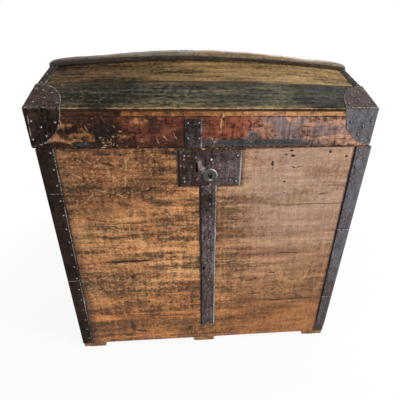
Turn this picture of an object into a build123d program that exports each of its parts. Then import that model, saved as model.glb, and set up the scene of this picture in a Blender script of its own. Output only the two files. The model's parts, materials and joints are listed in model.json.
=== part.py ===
from build123d import *
import os
from math import asin, atan2, cos, pi, sin, sqrt

# Old pine travel trunk with a domed lid, sheet iron straps and a lock.
# Millimetres. +X is to the right seen from the front, +Y to the back, +Z up.
# The origin is on the floor, under the middle of the body.

# Body of boards
body_width = 757.0
body_depth = 433.0
body_height = 625.0
board_thickness = 18.0
front_board_1_height = 148.0
front_board_2_height = 164.0
front_board_3_height = 161.0
back_board_1_height = 205.0
back_board_2_height = 215.0
side_board_1_height = 210.0
side_board_2_height = 205.0
bottom_thickness = 15.0
bottom_board_count = 4

# Runners under the bottom, front to back
runner_width = 64.0
runner_thickness = 15.0
runner_inset = 1.5
centre_runner_x = -8.0

# Lid of boards and staves, which has crept to the left on its hinges
lid_shift = -6.0
lid_seat_gap = 0.4
lid_board_height = 80.0
lid_bevel_height = 13.0
lid_bevel_depth = 2.0
stave_thickness = 7.0
stave_run = 92.0
stave_rise = 33.0
stave_arch = 7.0
panel_thickness = 9.0
panel_step = 3.0
panel_rise = 33.0
ridge_arch = 25.0

# Ridge slat along the top
slat_width = 46.0
slat_overhang = 3.5
slat_end_thickness = 6.0
slat_middle_thickness = 18.0
slat_crown = 3.0

# Sheet iron
sheet = 1.5
sheet_seat_gap = 0.15
corner_iron_top_width = 39.0
corner_iron_foot_width = 30.0
corner_iron_side_width = 38.0
corner_iron_joint_gap = 0.5
corner_iron_foot_cut = 16.0
left_iron_joint_low = 254.0
left_iron_joint_high = 518.0
right_iron_joint_low = 152.0
right_iron_joint_high = 395.0
left_iron_foot = 2.0
right_iron_foot = 26.0
strap_width = 40.0
strap_foot = 59.0
strap_top_nail_drop = 16.0
lid_corner_width = 75.0
lid_corner_drop = 82.0
lid_corner_side_run = 80.0
lid_corner_bulge_across = 0.76
lid_corner_bulge_back = 0.6
lid_corner_bulge_lift = 6.0
end_band_width = 20.0
end_band_drop = 20.0
hasp_plate_width = 40.0
hasp_plate_height = 64.0
hasp_plate_offset = -33.0
hasp_hole_radius = 2.2
hasp_lower_nail_height = 22.0

# Nails and screws
nail_head_radius = 3.5
nail_head_height = 1.8
nail_shank_radius = 1.2
body_nail_length = 13.0
lid_nail_length = 7.0
nail_spacing = 40.0
nail_edge_inset = 8.0
nail_joint_clearance = 1.0
strap_nail_spacing = 34.5
side_nail_spacing = 70.0
slat_nail_spacing = 82.0
screw_head_radius = 4.2
rivet_head_radius = 5.3

# Lock
lock_plate_width = 146.0
lock_plate_height = 88.0
lock_plate_drop = 6.0
lock_plate_screw_inset = 12.0
slot_x = -31.0
slot_width = 5.0
slot_height = 24.0
slot_drop = 47.0
keyhole_x = 0.0
keyhole_drop = 67.0
escutcheon_radius = 17.5
escutcheon_height = 4.0
escutcheon_rim = 3.5
escutcheon_recess = 1.4
escutcheon_side_share = 0.4
escutcheon_shoulder_share = 0.82
escutcheon_shoulder_inset_share = 0.3
plug_radius = 8.0
plug_clearance = 0.3
plug_depth = 6.5
keyhole_radius = 1.8
keyhole_wing = 5.2
keyhole_wing_width = 1.8
case_width = 92.0
case_height = 64.0
case_depth = 12.0
case_wall = 2.0
case_centre_x = -4.0
case_clearance = 0.3
bolt_length = 56.0
bolt_height = 10.0
bolt_thickness = 5.0
bolt_tip_gap = 5.0
bolt_clearance = 0.3
bolt_guide_width = 12.0
bolt_guide_x = 20.0
bolt_guide_wall = 3.0

# Hinges on the back
hinge_x = 220.0
hinge_strap_width = 34.0
hinge_leaf_length = 150.0
hinge_strap_rise = 66.0
hinge_leaf_thickness = 2.5
knuckle_radius = 5.0
knuckle_gap = 0.3
lid_knuckle_length = 13.0
pin_radius = 2.5
pin_clearance = 0.05

# Bail handles on the ends
handle_height = 430.0
handle_plate_width = 124.0
handle_plate_height = 56.0
handle_plate_thickness = 2.0
ear_spacing = 86.0
ear_thickness = 6.0
ear_radius = 8.0
bail_radius = 4.0
bail_stand_off = 11.0
bail_drop = 52.0
bail_bend = 11.0
bail_ear_gap = 1.0
bail_end_reach = 3.0
bail_bore_clearance = 0.08
grip_radius = 6.5
grip_length = 66.0

# How far a cutter reaches past what it cuts, and a neck into what it joins
overrun = 1.0

# Places that follow from the sizes
half_width = body_width / 2
half_depth = body_depth / 2
body_bottom = runner_thickness
body_top = body_bottom + body_height
lid_bottom = body_top + lid_seat_gap
front_face = -half_depth
inner_half_width = half_width - board_thickness
inner_half_depth = half_depth - board_thickness
stave_top_front = lid_bottom + lid_board_height + stave_thickness
stave_top_back = stave_top_front + stave_rise
panel_top_front = stave_top_back - panel_step
panel_top_ridge = panel_top_front + panel_rise
stave_edge = front_face + stave_run
slat_front = -slat_width / 2
slat_share = (slat_front - stave_edge) / (0 - stave_edge)
slat_edge_z = panel_top_front + slat_share * panel_rise + sheet_seat_gap
slat_edge_arch = stave_arch + slat_share * (ridge_arch - stave_arch)
slat_top_arch = slat_edge_arch + slat_middle_thickness - slat_end_thickness


def block(low, high):
    """A box between two corners."""
    size = [high[i] - low[i] for i in range(3)]
    centre = [(high[i] + low[i]) / 2 for i in range(3)]
    return Pos(*centre) * Box(*size)


def front_plate(outline, back_y, thickness):
    """A plate that stands upright facing the front, from closed edges in X and Z."""
    plane = Plane(origin=(0, back_y, 0), x_dir=(1, 0, 0), z_dir=(0, -1, 0))
    return extrude(plane * make_face(outline), amount=thickness)


def side_plate(outline, near_x, thickness):
    """A plate that stands upright facing right, from closed edges in Y and Z."""
    plane = Plane(origin=(near_x, 0, 0), x_dir=(0, 1, 0), z_dir=(1, 0, 0))
    return extrude(plane * make_face(outline), amount=thickness)


def flat_prism(outline, low_z, high_z):
    """A tall prism from closed edges in X and Y."""
    return extrude(Pos(0, 0, low_z) * make_face(outline), amount=high_z - low_z)


def arch_height(x, half_span, arch):
    """Height at x of an arc that rises by arch in the middle of its span."""
    if arch == 0:
        return 0.0
    radius = (half_span**2 + arch**2) / (2 * arch)
    return arch - radius + sqrt(radius**2 - x**2)


def arched_edge(y, low_x, high_x, end_z, arch):
    """The edge from low_x to high_x of an arch that spans the boards of the lid."""
    start = (low_x, y, end_z + arch_height(low_x, half_width, arch))
    end = (high_x, y, end_z + arch_height(high_x, half_width, arch))
    if arch == 0:
        return Line(start, end)
    middle_x = (low_x + high_x) / 2
    middle = (middle_x, y, end_z + arch_height(middle_x, half_width, arch))
    return ThreePointArc(start, middle, end)


def arched_section(y, half_span, low, high):
    """An upright face at y between two arches, each given as its end height and its rise."""
    lower = arched_edge(y, -half_span, half_span, *low)
    upper = arched_edge(y, -half_span, half_span, *high)
    left = Line(lower @ 0, upper @ 0)
    right = Line(lower @ 1, upper @ 1)
    return Face(Wire([lower, right, upper, left]))


def arched_board(sections, half_span):
    """A board through upright sections, each given as y, low arch and high arch."""
    faces = [arched_section(y, half_span, low, high) for y, low, high in sections]
    return loft(faces, ruled=True)


def nail(head_radius, length):
    """A domed nail at the origin, head up, its head's underside at Z = 0."""
    outline = Polyline(
        (0, nail_head_height),
        (0, -length),
        (nail_shank_radius, -length),
        (nail_shank_radius, 0),
        (head_radius, 0),
    )
    dome_radius = (head_radius**2 + nail_head_height**2) / (2 * nail_head_height)
    dome_centre = nail_head_height - dome_radius
    half_angle = asin(head_radius / dome_radius) / 2
    dome = ThreePointArc(
        (head_radius, 0),
        (dome_radius * sin(half_angle), dome_centre + dome_radius * cos(half_angle)),
        (0, nail_head_height),
    )
    return revolve(Plane.XZ * make_face([outline, dome]), Axis.Z)


def placed(shape, point, outward):
    """A nail or screw set on a surface at a point, head outward."""
    across = (1, 0, 0) if abs(outward[0]) < 0.5 else (0, 1, 0)
    return Plane(origin=point, x_dir=across, z_dir=outward) * shape


def steps(low, high, spacing):
    """Evenly spaced values from low to high, about spacing apart."""
    count = max(1, round((high - low) / spacing))
    return [low + (high - low) * i / count for i in range(count + 1)]


def save(name, *shapes):
    """Write one node, of one solid or of several separate ones."""
    solids = [solid for shape in shapes for solid in shape.solids()]
    whole = solids[0] if len(solids) == 1 else Compound(children=solids)
    export_step(whole, f"parts/{name}.step")


FRONT = (0, -1, 0)
BACK = (0, 1, 0)
LEFT = (-1, 0, 0)
RIGHT = (1, 0, 0)


# The wooden body
def stacked_heights(lower_heights):
    """The lower and upper edge of each board in a wall, the top one taking the rest."""
    edges = [body_bottom]
    for height in lower_heights:
        edges.append(edges[-1] + height)
    edges.append(body_top)
    return list(zip(edges, edges[1:]))


def lock_centre():
    """The middle of the lock plate, as x and z."""
    return 0.0, body_top - lock_plate_drop - lock_plate_height / 2


def lock_pocket():
    """The pocket cut in the top front board for the lock case."""
    z = lock_centre()[1]
    reach_x = case_width / 2 + case_clearance
    reach_z = case_height / 2 + case_clearance
    return block(
        (case_centre_x - reach_x, front_face - overrun, z - reach_z),
        (case_centre_x + reach_x, front_face + case_depth + case_clearance, z + reach_z),
    )


def make_body_boards():
    front_heights = (front_board_1_height, front_board_2_height, front_board_3_height)
    for number, (low, high) in enumerate(stacked_heights(front_heights), 1):
        board = block(
            (-half_width, front_face, low),
            (half_width, front_face + board_thickness, high),
        )
        if number == 4:
            board = board - lock_pocket()
        save(f"front_board_{number}", board)
    back_heights = (back_board_1_height, back_board_2_height)
    for number, (low, high) in enumerate(stacked_heights(back_heights), 1):
        board = block(
            (-half_width, half_depth - board_thickness, low),
            (half_width, half_depth, high),
        )
        save(f"back_board_{number}", board)
    side_heights = (side_board_1_height, side_board_2_height)
    for number, (low, high) in enumerate(stacked_heights(side_heights), 1):
        board = block(
            (inner_half_width, -inner_half_depth, low),
            (half_width, inner_half_depth, high),
        )
        save(f"right_side_board_{number}", board)
        save(f"left_side_board_{number}", mirror(board, Plane.YZ))


def make_bottom_and_runners():
    width = 2 * inner_half_depth / bottom_board_count
    boards = []
    for i in range(bottom_board_count):
        low_y = -inner_half_depth + i * width
        board = block(
            (-inner_half_width, low_y, body_bottom),
            (inner_half_width, low_y + width, body_bottom + bottom_thickness),
        )
        boards.append(board)
    save("bottom_boards", *boards)
    outer = half_width - runner_inset - runner_width / 2
    places = {"left": -outer, "centre": centre_runner_x, "right": outer}
    for side, x in places.items():
        runner = block(
            (x - runner_width / 2, -half_depth, 0),
            (x + runner_width / 2, half_depth, runner_thickness),
        )
        save(f"runner_{side}", runner)


# Irons on the body
def corner_iron_width(z):
    """Width of the front flange at a height: it narrows towards the floor."""
    share = (z - body_bottom) / body_height
    return corner_iron_foot_width + share * (corner_iron_top_width - corner_iron_foot_width)


def corner_iron(low, high, foot_cut):
    """One length of the right front corner iron: an angle with a front and a side flange."""
    outer = half_width + sheet
    inner_low = outer - corner_iron_width(low)
    corners = [(outer, low), (outer, high), (outer - corner_iron_width(high), high)]
    corners.append((inner_low, low + foot_cut))
    if foot_cut > 0:
        corners.append((inner_low + foot_cut, low))
    front = Polyline(*corners, (outer, low))
    flange = front_plate(front, front_face, sheet)
    side = block(
        (half_width, front_face - sheet, low),
        (outer, front_face - sheet + corner_iron_side_width, high),
    )
    return flange + side


def corner_iron_lengths(low, high, foot):
    """The lower, middle and upper lengths of a front corner iron, foot first."""
    half_gap = corner_iron_joint_gap / 2
    first = body_bottom + low
    second = body_bottom + high
    return {
        "lower": (body_bottom + foot, first - half_gap, corner_iron_foot_cut),
        "middle": (first + half_gap, second - half_gap, 0),
        "upper": (second + half_gap, body_top, 0),
    }


def make_body_irons():
    left = corner_iron_lengths(left_iron_joint_low, left_iron_joint_high, left_iron_foot)
    for name, (low, high, cut) in left.items():
        iron = mirror(corner_iron(low, high, cut), Plane.YZ)
        save(f"front_left_corner_iron_{name}", iron)
    right = corner_iron_lengths(right_iron_joint_low, right_iron_joint_high, right_iron_foot)
    for name, (low, high, cut) in right.items():
        save(f"front_right_corner_iron_{name}", corner_iron(low, high, cut))
    rear = mirror(corner_iron(body_bottom + left_iron_foot, body_top, 0), Plane.XZ)
    save("rear_right_corner_iron", rear)
    save("rear_left_corner_iron", mirror(rear, Plane.YZ))
    strap = block(
        (-strap_width / 2, front_face - sheet, body_bottom + strap_foot),
        (strap_width / 2, front_face, body_top - lock_plate_drop - lock_plate_height),
    )
    save("centre_strap", strap)


def front_iron_nails(side, joint_low, joint_high, foot):
    """Nails of a front corner iron, on its front and side flanges."""
    points = []
    outer = half_width + sheet
    low = body_bottom + foot + corner_iron_foot_cut + nail_edge_inset
    for z in steps(low, body_top - nail_edge_inset, nail_spacing):
        near_joint = min(abs(z - body_bottom - joint_low), abs(z - body_bottom - joint_high))
        if near_joint < nail_head_radius + nail_joint_clearance:
            z += 2 * nail_head_radius
        x = outer - corner_iron_width(z) + nail_edge_inset
        points.append(((side * x, front_face - sheet, z), FRONT))
    y = front_face + corner_iron_side_width - sheet - nail_edge_inset
    outward = RIGHT if side > 0 else LEFT
    for z in steps(low, body_top - nail_edge_inset, side_nail_spacing):
        points.append(((side * outer, y, z), outward))
    return points


def make_body_nails():
    points = front_iron_nails(-1, left_iron_joint_low, left_iron_joint_high, left_iron_foot)
    points += front_iron_nails(1, right_iron_joint_low, right_iron_joint_high, right_iron_foot)
    outer = half_width + sheet
    low = body_bottom + left_iron_foot + nail_edge_inset
    for side, outward in ((-1, LEFT), (1, RIGHT)):
        for z in steps(low, body_top - nail_edge_inset, side_nail_spacing):
            x = outer - corner_iron_width(z) + nail_edge_inset
            points.append(((side * x, half_depth + sheet, z), BACK))
            y = half_depth + sheet - corner_iron_side_width + nail_edge_inset
            points.append(((side * outer, y, z), outward))
    strap_low = body_bottom + strap_foot + nail_edge_inset
    strap_high = body_top - lock_plate_drop - lock_plate_height - strap_top_nail_drop
    for z in steps(strap_low, strap_high, strap_nail_spacing):
        points.append(((0, front_face - sheet, z), FRONT))
    for side in (-1, 1):
        x = side * hinge_x
        leaf_top = body_top - 2 * knuckle_radius - nail_edge_inset
        leaf_low = body_top - hinge_leaf_length + nail_edge_inset
        for z in steps(leaf_low, leaf_top, nail_spacing):
            points.append(((x, half_depth + hinge_leaf_thickness, z), BACK))
    for side, outward in ((-1, LEFT), (1, RIGHT)):
        x = side * (half_width + handle_plate_thickness)
        reach_y = handle_plate_width / 2 - nail_edge_inset
        reach_z = handle_plate_height / 2 - nail_edge_inset
        for y in (-reach_y, reach_y):
            for z in (handle_height - reach_z, handle_height + reach_z):
                points.append(((x, y, z), outward))
    one = nail(nail_head_radius, body_nail_length)
    save("body_nails", *[placed(one, point, outward) for point, outward in points])


# The lock
def make_lock():
    x, z = lock_centre()
    plate_front = front_face - sheet
    slot_z = body_top - slot_drop
    keyhole_z = body_top - keyhole_drop
    plate = block(
        (x - lock_plate_width / 2, plate_front, z - lock_plate_height / 2),
        (x + lock_plate_width / 2, front_face, z + lock_plate_height / 2),
    )
    slot = block(
        (slot_x - slot_width / 2, plate_front - overrun, slot_z - slot_height / 2),
        (slot_x + slot_width / 2, front_face + overrun, slot_z + slot_height / 2),
    )
    bore_radius = plug_radius + plug_clearance
    key_plane = Plane(origin=(keyhole_x, plate_front, keyhole_z), x_dir=RIGHT, z_dir=FRONT)
    bore = key_plane * Cylinder(bore_radius, 4 * escutcheon_height)
    save("lock_plate", plate - slot - bore)

    side_height = escutcheon_height * escutcheon_side_share
    ring = Polyline(
        (bore_radius, 0),
        (escutcheon_radius, 0),
        (escutcheon_radius, side_height),
    )
    shoulder = ThreePointArc(
        (escutcheon_radius, side_height),
        (
            escutcheon_radius - escutcheon_rim * escutcheon_shoulder_inset_share,
            escutcheon_height * escutcheon_shoulder_share,
        ),
        (escutcheon_radius - escutcheon_rim, escutcheon_height),
    )
    face = Polyline(
        (escutcheon_radius - escutcheon_rim, escutcheon_height),
        (escutcheon_radius - escutcheon_rim, escutcheon_height - escutcheon_recess),
        (bore_radius, escutcheon_height - escutcheon_recess),
        (bore_radius, 0),
    )
    turned = revolve(Plane.XZ * make_face([ring, shoulder, face]), Axis.Z)
    save("lock_escutcheon", key_plane * turned)

    plug_length = escutcheon_height - escutcheon_recess + sheet + plug_depth
    plug = Pos(0, 0, escutcheon_height - escutcheon_recess - plug_length / 2) * Cylinder(
        plug_radius, plug_length
    )
    hole = Cylinder(keyhole_radius, 4 * plug_length)
    for turn in (90, 210, 330):
        wing = Box(keyhole_wing, keyhole_wing_width, 4 * plug_length)
        hole += Rot(0, 0, turn) * Pos(keyhole_wing / 2, 0, 0) * wing
    save("key_plug", key_plane * (plug - hole))

    case_front = front_face
    case_back = front_face + case_depth
    case = block(
        (case_centre_x - case_width / 2, case_front, z - case_height / 2),
        (case_centre_x + case_width / 2, case_back, z + case_height / 2),
    )
    hollow = block(
        (
            case_centre_x - case_width / 2 + case_wall,
            case_front - overrun,
            z - case_height / 2 + case_wall,
        ),
        (
            case_centre_x + case_width / 2 - case_wall,
            case_back - case_wall,
            z + case_height / 2 - case_wall,
        ),
    )
    case = case - hollow
    bolt_z = slot_z
    bolt_middle_y = (case_front + case_back - case_wall) / 2
    tip_x = slot_x + slot_width / 2 + bolt_tip_gap
    guide = block(
        (
            bolt_guide_x - bolt_guide_width / 2,
            case_front,
            bolt_z - bolt_height / 2 - bolt_clearance - bolt_guide_wall,
        ),
        (
            bolt_guide_x + bolt_guide_width / 2,
            case_back - case_wall,
            bolt_z + bolt_height / 2 + bolt_clearance + bolt_guide_wall,
        ),
    )
    window = block(
        (
            bolt_guide_x - bolt_guide_width,
            bolt_middle_y - bolt_thickness / 2 - bolt_clearance,
            bolt_z - bolt_height / 2 - bolt_clearance,
        ),
        (
            bolt_guide_x + bolt_guide_width,
            bolt_middle_y + bolt_thickness / 2 + bolt_clearance,
            bolt_z + bolt_height / 2 + bolt_clearance,
        ),
    )
    save("lock_case", case + (guide - window))
    bolt = block(
        (tip_x, bolt_middle_y - bolt_thickness / 2, bolt_z - bolt_height / 2),
        (tip_x + bolt_length, bolt_middle_y + bolt_thickness / 2, bolt_z + bolt_height / 2),
    )
    save("lock_bolt", bolt)

    screw = nail(screw_head_radius, body_nail_length)
    rivet = nail(rivet_head_radius, case_wall)
    reach_x = lock_plate_width / 2 - lock_plate_screw_inset
    reach_z = lock_plate_height / 2 - lock_plate_screw_inset
    fixings = []
    for side_x in (-reach_x, reach_x):
        for side_z in (-reach_z, reach_z):
            fixings.append(placed(screw, (x + side_x, plate_front, z + side_z), FRONT))
    rivet_z = (keyhole_z + escutcheon_radius + body_top - lock_plate_drop) / 2
    fixings.append(placed(rivet, (keyhole_x, plate_front, rivet_z), FRONT))
    save("lock_screws", *fixings)


# Hinges
hinge_axis_y = half_depth + knuckle_radius + knuckle_gap
hinge_axis_z = body_top
neck_height = knuckle_radius + knuckle_gap


def barrel(low_x, high_x, radius):
    """A round bar along X on the hinge axis."""
    middle = ((low_x + high_x) / 2, hinge_axis_y, hinge_axis_z)
    return Pos(*middle) * Rot(0, 90, 0) * Cylinder(radius, high_x - low_x)


def knuckle(low_x, high_x, neck_low, neck_high, bore_radius):
    """A hinge knuckle with the neck that joins it to its leaf."""
    neck = block(
        (low_x, half_depth, hinge_axis_z + neck_low),
        (high_x, half_depth + hinge_leaf_thickness, hinge_axis_z + neck_high),
    )
    reach = block(
        (low_x, half_depth + hinge_leaf_thickness / 2, hinge_axis_z - knuckle_radius / 2),
        (high_x, hinge_axis_y, hinge_axis_z + knuckle_radius / 2),
    )
    bore = barrel(low_x - overrun, high_x + overrun, bore_radius)
    return neck + reach + barrel(low_x, high_x, knuckle_radius) - bore


def make_hinges():
    half_strap = hinge_strap_width / 2
    half_lid = lid_knuckle_length / 2
    pins = []
    for side, centre in (("left", -hinge_x), ("right", hinge_x)):
        leaf = block(
            (centre - half_strap, half_depth, hinge_axis_z - hinge_leaf_length),
            (
                centre + half_strap,
                half_depth + hinge_leaf_thickness,
                hinge_axis_z - neck_height,
            ),
        )
        inner = half_lid + knuckle_gap
        for low_x, high_x in (
            (centre - half_strap, centre - inner),
            (centre + inner, centre + half_strap),
        ):
            leaf += knuckle(low_x, high_x, -neck_height - overrun, 0, pin_radius)
        save(f"hinge_leaf_{side}", leaf)
        strap = block(
            (centre - half_strap, half_depth, hinge_axis_z + neck_height),
            (
                centre + half_strap,
                half_depth + hinge_leaf_thickness,
                hinge_axis_z + hinge_strap_rise,
            ),
        )
        strap += knuckle(
            centre - half_lid,
            centre + half_lid,
            0,
            neck_height + overrun,
            pin_radius + pin_clearance,
        )
        save(f"lid_hinge_strap_{side}", strap)
        pins.append(barrel(centre - half_strap, centre + half_strap, pin_radius))
    save("hinge_pins", *pins)


# Handles on the ends
def make_handles():
    plate_face = half_width + handle_plate_thickness
    axis_x = plate_face + bail_stand_off
    plate = block(
        (half_width, -handle_plate_width / 2, handle_height - handle_plate_height / 2),
        (plate_face, handle_plate_width / 2, handle_height + handle_plate_height / 2),
    )
    for middle_y in (-ear_spacing / 2, ear_spacing / 2):
        root = block(
            (half_width, middle_y - ear_thickness / 2, handle_height - ear_radius),
            (axis_x, middle_y + ear_thickness / 2, handle_height + ear_radius),
        )
        at = Pos(axis_x, middle_y, handle_height) * Rot(90, 0, 0)
        plate += root + at * Cylinder(ear_radius, ear_thickness)
        plate -= at * Cylinder(bail_radius + bail_bore_clearance, 2 * ear_thickness)
    inner_y = ear_spacing / 2 - ear_thickness / 2 - bail_end_reach
    arm_y = ear_spacing / 2 + ear_thickness / 2 + bail_ear_gap + bail_radius + bail_bend
    route = FilletPolyline(
        (axis_x, -inner_y, handle_height),
        (axis_x, -arm_y, handle_height),
        (axis_x, -arm_y, handle_height - bail_drop),
        (axis_x, arm_y, handle_height - bail_drop),
        (axis_x, arm_y, handle_height),
        (axis_x, inner_y, handle_height),
        radius=bail_bend,
    )
    start = Plane(origin=route @ 0, z_dir=route % 0)
    bail = sweep(start * Circle(bail_radius), path=route)
    grip = Pos(axis_x, 0, handle_height - bail_drop) * Rot(90, 0, 0)
    bail = bail + grip * Cylinder(grip_radius, grip_length)
    save("handle_plate_right", plate)
    save("handle_plate_left", mirror(plate, Plane.YZ))
    save("handle_right", bail)
    save("handle_left", mirror(bail, Plane.YZ))


# The lid, drawn centred and then moved to the side by its shift
def stave_surface(x, y):
    """Height of the front stave's top."""
    share = (y - front_face) / stave_run
    rise = stave_rise + arch_height(x, half_width, stave_arch)
    return stave_top_front + share * rise


def panel_surface(x, y):
    """Height of the front panel's top."""
    share = (y - stave_edge) / (0 - stave_edge)
    low = panel_top_front + arch_height(x, half_width, stave_arch)
    high = panel_top_ridge + arch_height(x, half_width, ridge_arch)
    return low + share * (high - low)


def on_stave(below, above):
    """A layer that follows the front stave's top, from below to above it."""
    sections = []
    for y, end_z, arch in (
        (front_face, stave_top_front, 0),
        (stave_edge, stave_top_back, stave_arch),
    ):
        sections.append((y, (end_z - below, arch), (end_z + above, arch)))
    return arched_board(sections, half_width)


def on_panel(below, above, half_span):
    """A layer that follows the front panel's top, from below to above it."""
    sections = []
    for y, end_z, arch in (
        (stave_edge, panel_top_front, stave_arch),
        (0, panel_top_ridge, ridge_arch),
    ):
        sections.append((y, (end_z - below, arch), (end_z + above, arch)))
    return arched_board(sections, half_span)


def save_lid(name, *shapes):
    save(name, *[Pos(lid_shift, 0, 0) * shape for shape in shapes])


def make_lid_boards():
    slope = stave_rise / stave_run
    inner_top = lid_bottom + lid_board_height + slope * board_thickness
    bevel_top = lid_bottom + lid_board_height + slope * lid_bevel_depth
    outline = Polyline(
        (front_face, lid_bottom),
        (front_face + board_thickness, lid_bottom),
        (front_face + board_thickness, inner_top),
        (front_face + lid_bevel_depth, bevel_top),
        (front_face, bevel_top - lid_bevel_height),
        (front_face, lid_bottom),
    )
    front = side_plate(outline, -half_width, body_width)
    save_lid("lid_front_board", front)
    save_lid("lid_back_board", mirror(front, Plane.XZ))
    stave_under = stave_top_back - stave_thickness
    panel_under = panel_top_front - panel_thickness
    ridge_under = panel_top_ridge - panel_thickness
    inner_y = front_face + board_thickness
    profile = Polyline(
        (inner_y, lid_bottom),
        (inner_y, inner_top),
        (stave_edge, stave_under),
        (stave_edge, panel_under),
        (0, ridge_under),
        (-stave_edge, panel_under),
        (-stave_edge, stave_under),
        (-inner_y, inner_top),
        (-inner_y, lid_bottom),
        (inner_y, lid_bottom),
    )
    end = side_plate(profile, inner_half_width, board_thickness)
    save_lid("lid_right_end", end)
    save_lid("lid_left_end", mirror(end, Plane.YZ))


def make_lid_cover():
    stave = on_stave(stave_thickness, 0)
    save_lid("lid_front_stave", stave)
    save_lid("lid_back_stave", mirror(stave, Plane.XZ))
    panel = on_panel(panel_thickness, 0, half_width)
    save_lid("lid_front_panel", panel)
    save_lid("lid_back_panel", mirror(panel, Plane.XZ))
    edge_low = (slat_edge_z, slat_edge_arch)
    edge_high = (slat_edge_z + slat_end_thickness, slat_top_arch)
    ridge_low = (panel_top_ridge + sheet_seat_gap, ridge_arch)
    ridge_high = (slat_edge_z + slat_end_thickness + slat_crown, slat_top_arch)
    sections = [
        (slat_front, edge_low, edge_high),
        (0, ridge_low, ridge_high),
        (-slat_front, edge_low, edge_high),
    ]
    slat = arched_board(sections, half_width + slat_overhang)
    save_lid("ridge_slat", slat)


def lid_corner_iron():
    """The front right corner iron of the lid: three petals of one folded sheet."""
    outer = half_width + sheet
    face = front_face - sheet
    low = stave_top_front - lid_corner_drop
    top = stave_top_front + sheet_seat_gap + sheet
    inner_x = outer - lid_corner_width
    bulge_x = outer - lid_corner_width * cos(pi / 4)
    bulge_z = stave_top_front - lid_corner_drop * sin(pi / 4)
    front_outline = [
        Polyline((outer, low), (outer, top), (inner_x, top), (inner_x, stave_top_front)),
        ThreePointArc((inner_x, stave_top_front), (bulge_x, bulge_z), (outer, low)),
    ]
    front = front_plate(front_outline, front_face, sheet)
    layer = on_stave(-sheet_seat_gap, sheet_seat_gap + sheet)
    plan = [
        Polyline((half_width, stave_edge), (half_width, face), (inner_x, face)),
        Line((inner_x, face), (inner_x, front_face)),
        ThreePointArc(
            (inner_x, front_face),
            (
                outer - lid_corner_width * lid_corner_bulge_across,
                front_face + stave_run * lid_corner_bulge_back,
            ),
            (half_width, stave_edge),
        ),
    ]
    petal = layer & flat_prism(plan, lid_bottom, panel_top_ridge)
    slope = stave_rise / stave_run
    back_y = front_face + lid_corner_side_run
    side_top = stave_top_front + slope * lid_corner_side_run
    lift = sheet_seat_gap + sheet
    side_outline = [
        Polyline(
            (face, low),
            (face, top),
            (front_face, top),
            (back_y, side_top + lift),
            (back_y, side_top),
        ),
        ThreePointArc(
            (back_y, side_top),
            (front_face + lid_corner_side_run * cos(pi / 4), bulge_z + lid_corner_bulge_lift),
            (face, low),
        ),
    ]
    side = side_plate(side_outline, half_width, sheet)
    return front + petal + side


def end_band():
    """The right end band over the front panel: an angle along the panel's edge."""
    outer = half_width + sheet
    lift = sheet_seat_gap + sheet
    layer = on_panel(-sheet_seat_gap, lift, half_width)
    plan = Polyline(
        (outer - end_band_width, stave_edge),
        (half_width, stave_edge),
        (half_width, slat_front),
        (outer - end_band_width, slat_front),
        (outer - end_band_width, stave_edge),
    )
    top = layer & flat_prism(plan, lid_bottom, panel_top_ridge + 2 * ridge_arch)
    start_z = panel_top_front
    slope = (panel_top_ridge - panel_top_front) / (0 - stave_edge)
    end_z = panel_top_front + slope * (slat_front - stave_edge)
    outline = Polyline(
        (stave_edge, start_z - end_band_drop),
        (stave_edge, start_z + lift),
        (slat_front, end_z + lift),
        (slat_front, end_z - end_band_drop),
        (stave_edge, start_z - end_band_drop),
    )
    return top + side_plate(outline, half_width, sheet)


def make_lid_irons():
    corner = lid_corner_iron()
    save_lid("lid_front_right_corner_iron", corner)
    save_lid("lid_front_left_corner_iron", mirror(corner, Plane.YZ))
    save_lid("lid_rear_right_corner_iron", mirror(corner, Plane.XZ))
    save_lid("lid_rear_left_corner_iron", mirror(mirror(corner, Plane.XZ), Plane.YZ))
    band = end_band()
    rear_band = mirror(band, Plane.XZ)
    save_lid("lid_end_band_right", band, rear_band)
    save_lid("lid_end_band_left", mirror(band, Plane.YZ), mirror(rear_band, Plane.YZ))
    plate = block(
        (hasp_plate_offset - hasp_plate_width / 2, front_face - sheet, lid_bottom),
        (
            hasp_plate_offset + hasp_plate_width / 2,
            front_face,
            lid_bottom + hasp_plate_height,
        ),
    )
    hole = Pos(
        hasp_plate_offset - hasp_plate_width / 4, front_face, lid_bottom + nail_edge_inset
    ) * (Rot(90, 0, 0) * Cylinder(hasp_hole_radius, 4 * sheet))
    save_lid("hasp_plate", plate - hole)


def lid_corner_nails():
    """Nails of the front right corner iron: point and outward direction of each."""
    outer = half_width + sheet
    tilt = atan2(stave_rise, stave_run)
    normal = (0, -sin(tilt), cos(tilt))
    points = []
    front_places = ((13, 26), (30, 39), (60, 29), (37, 58), (8, 65))
    for across, down in front_places:
        points.append(((outer - across, front_face - sheet, stave_top_front - down), FRONT))
    top_places = ((9, 68), (26, 60), (46, 50), (36, 31), (17, 17), (66, 13))
    for across, back in top_places:
        x = outer - across
        y = front_face + back
        z = stave_surface(x, y) + (sheet + sheet_seat_gap) / cos(tilt)
        points.append(((x, y, z), normal))
    side_places = ((14, 24), (36, 36), (58, 22), (30, 60))
    for back, down in side_places:
        points.append(((outer, front_face + back, stave_top_front - down), RIGHT))
    return points


def flipped(points, flip_x, flip_y):
    """The same nails on a mirrored corner."""
    made = []
    for (x, y, z), (a, b, c) in points:
        made.append(((flip_x * x, flip_y * y, z), (flip_x * a, flip_y * b, c)))
    return made


def slat_normal(x):
    """Outward direction of the slat's top at x, on its front half."""
    radius = (half_width**2 + slat_top_arch**2) / (2 * slat_top_arch)
    along = asin(x / radius)
    across = atan2(slat_crown, -slat_front)
    return (sin(along), -sin(across), cos(along))


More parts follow.
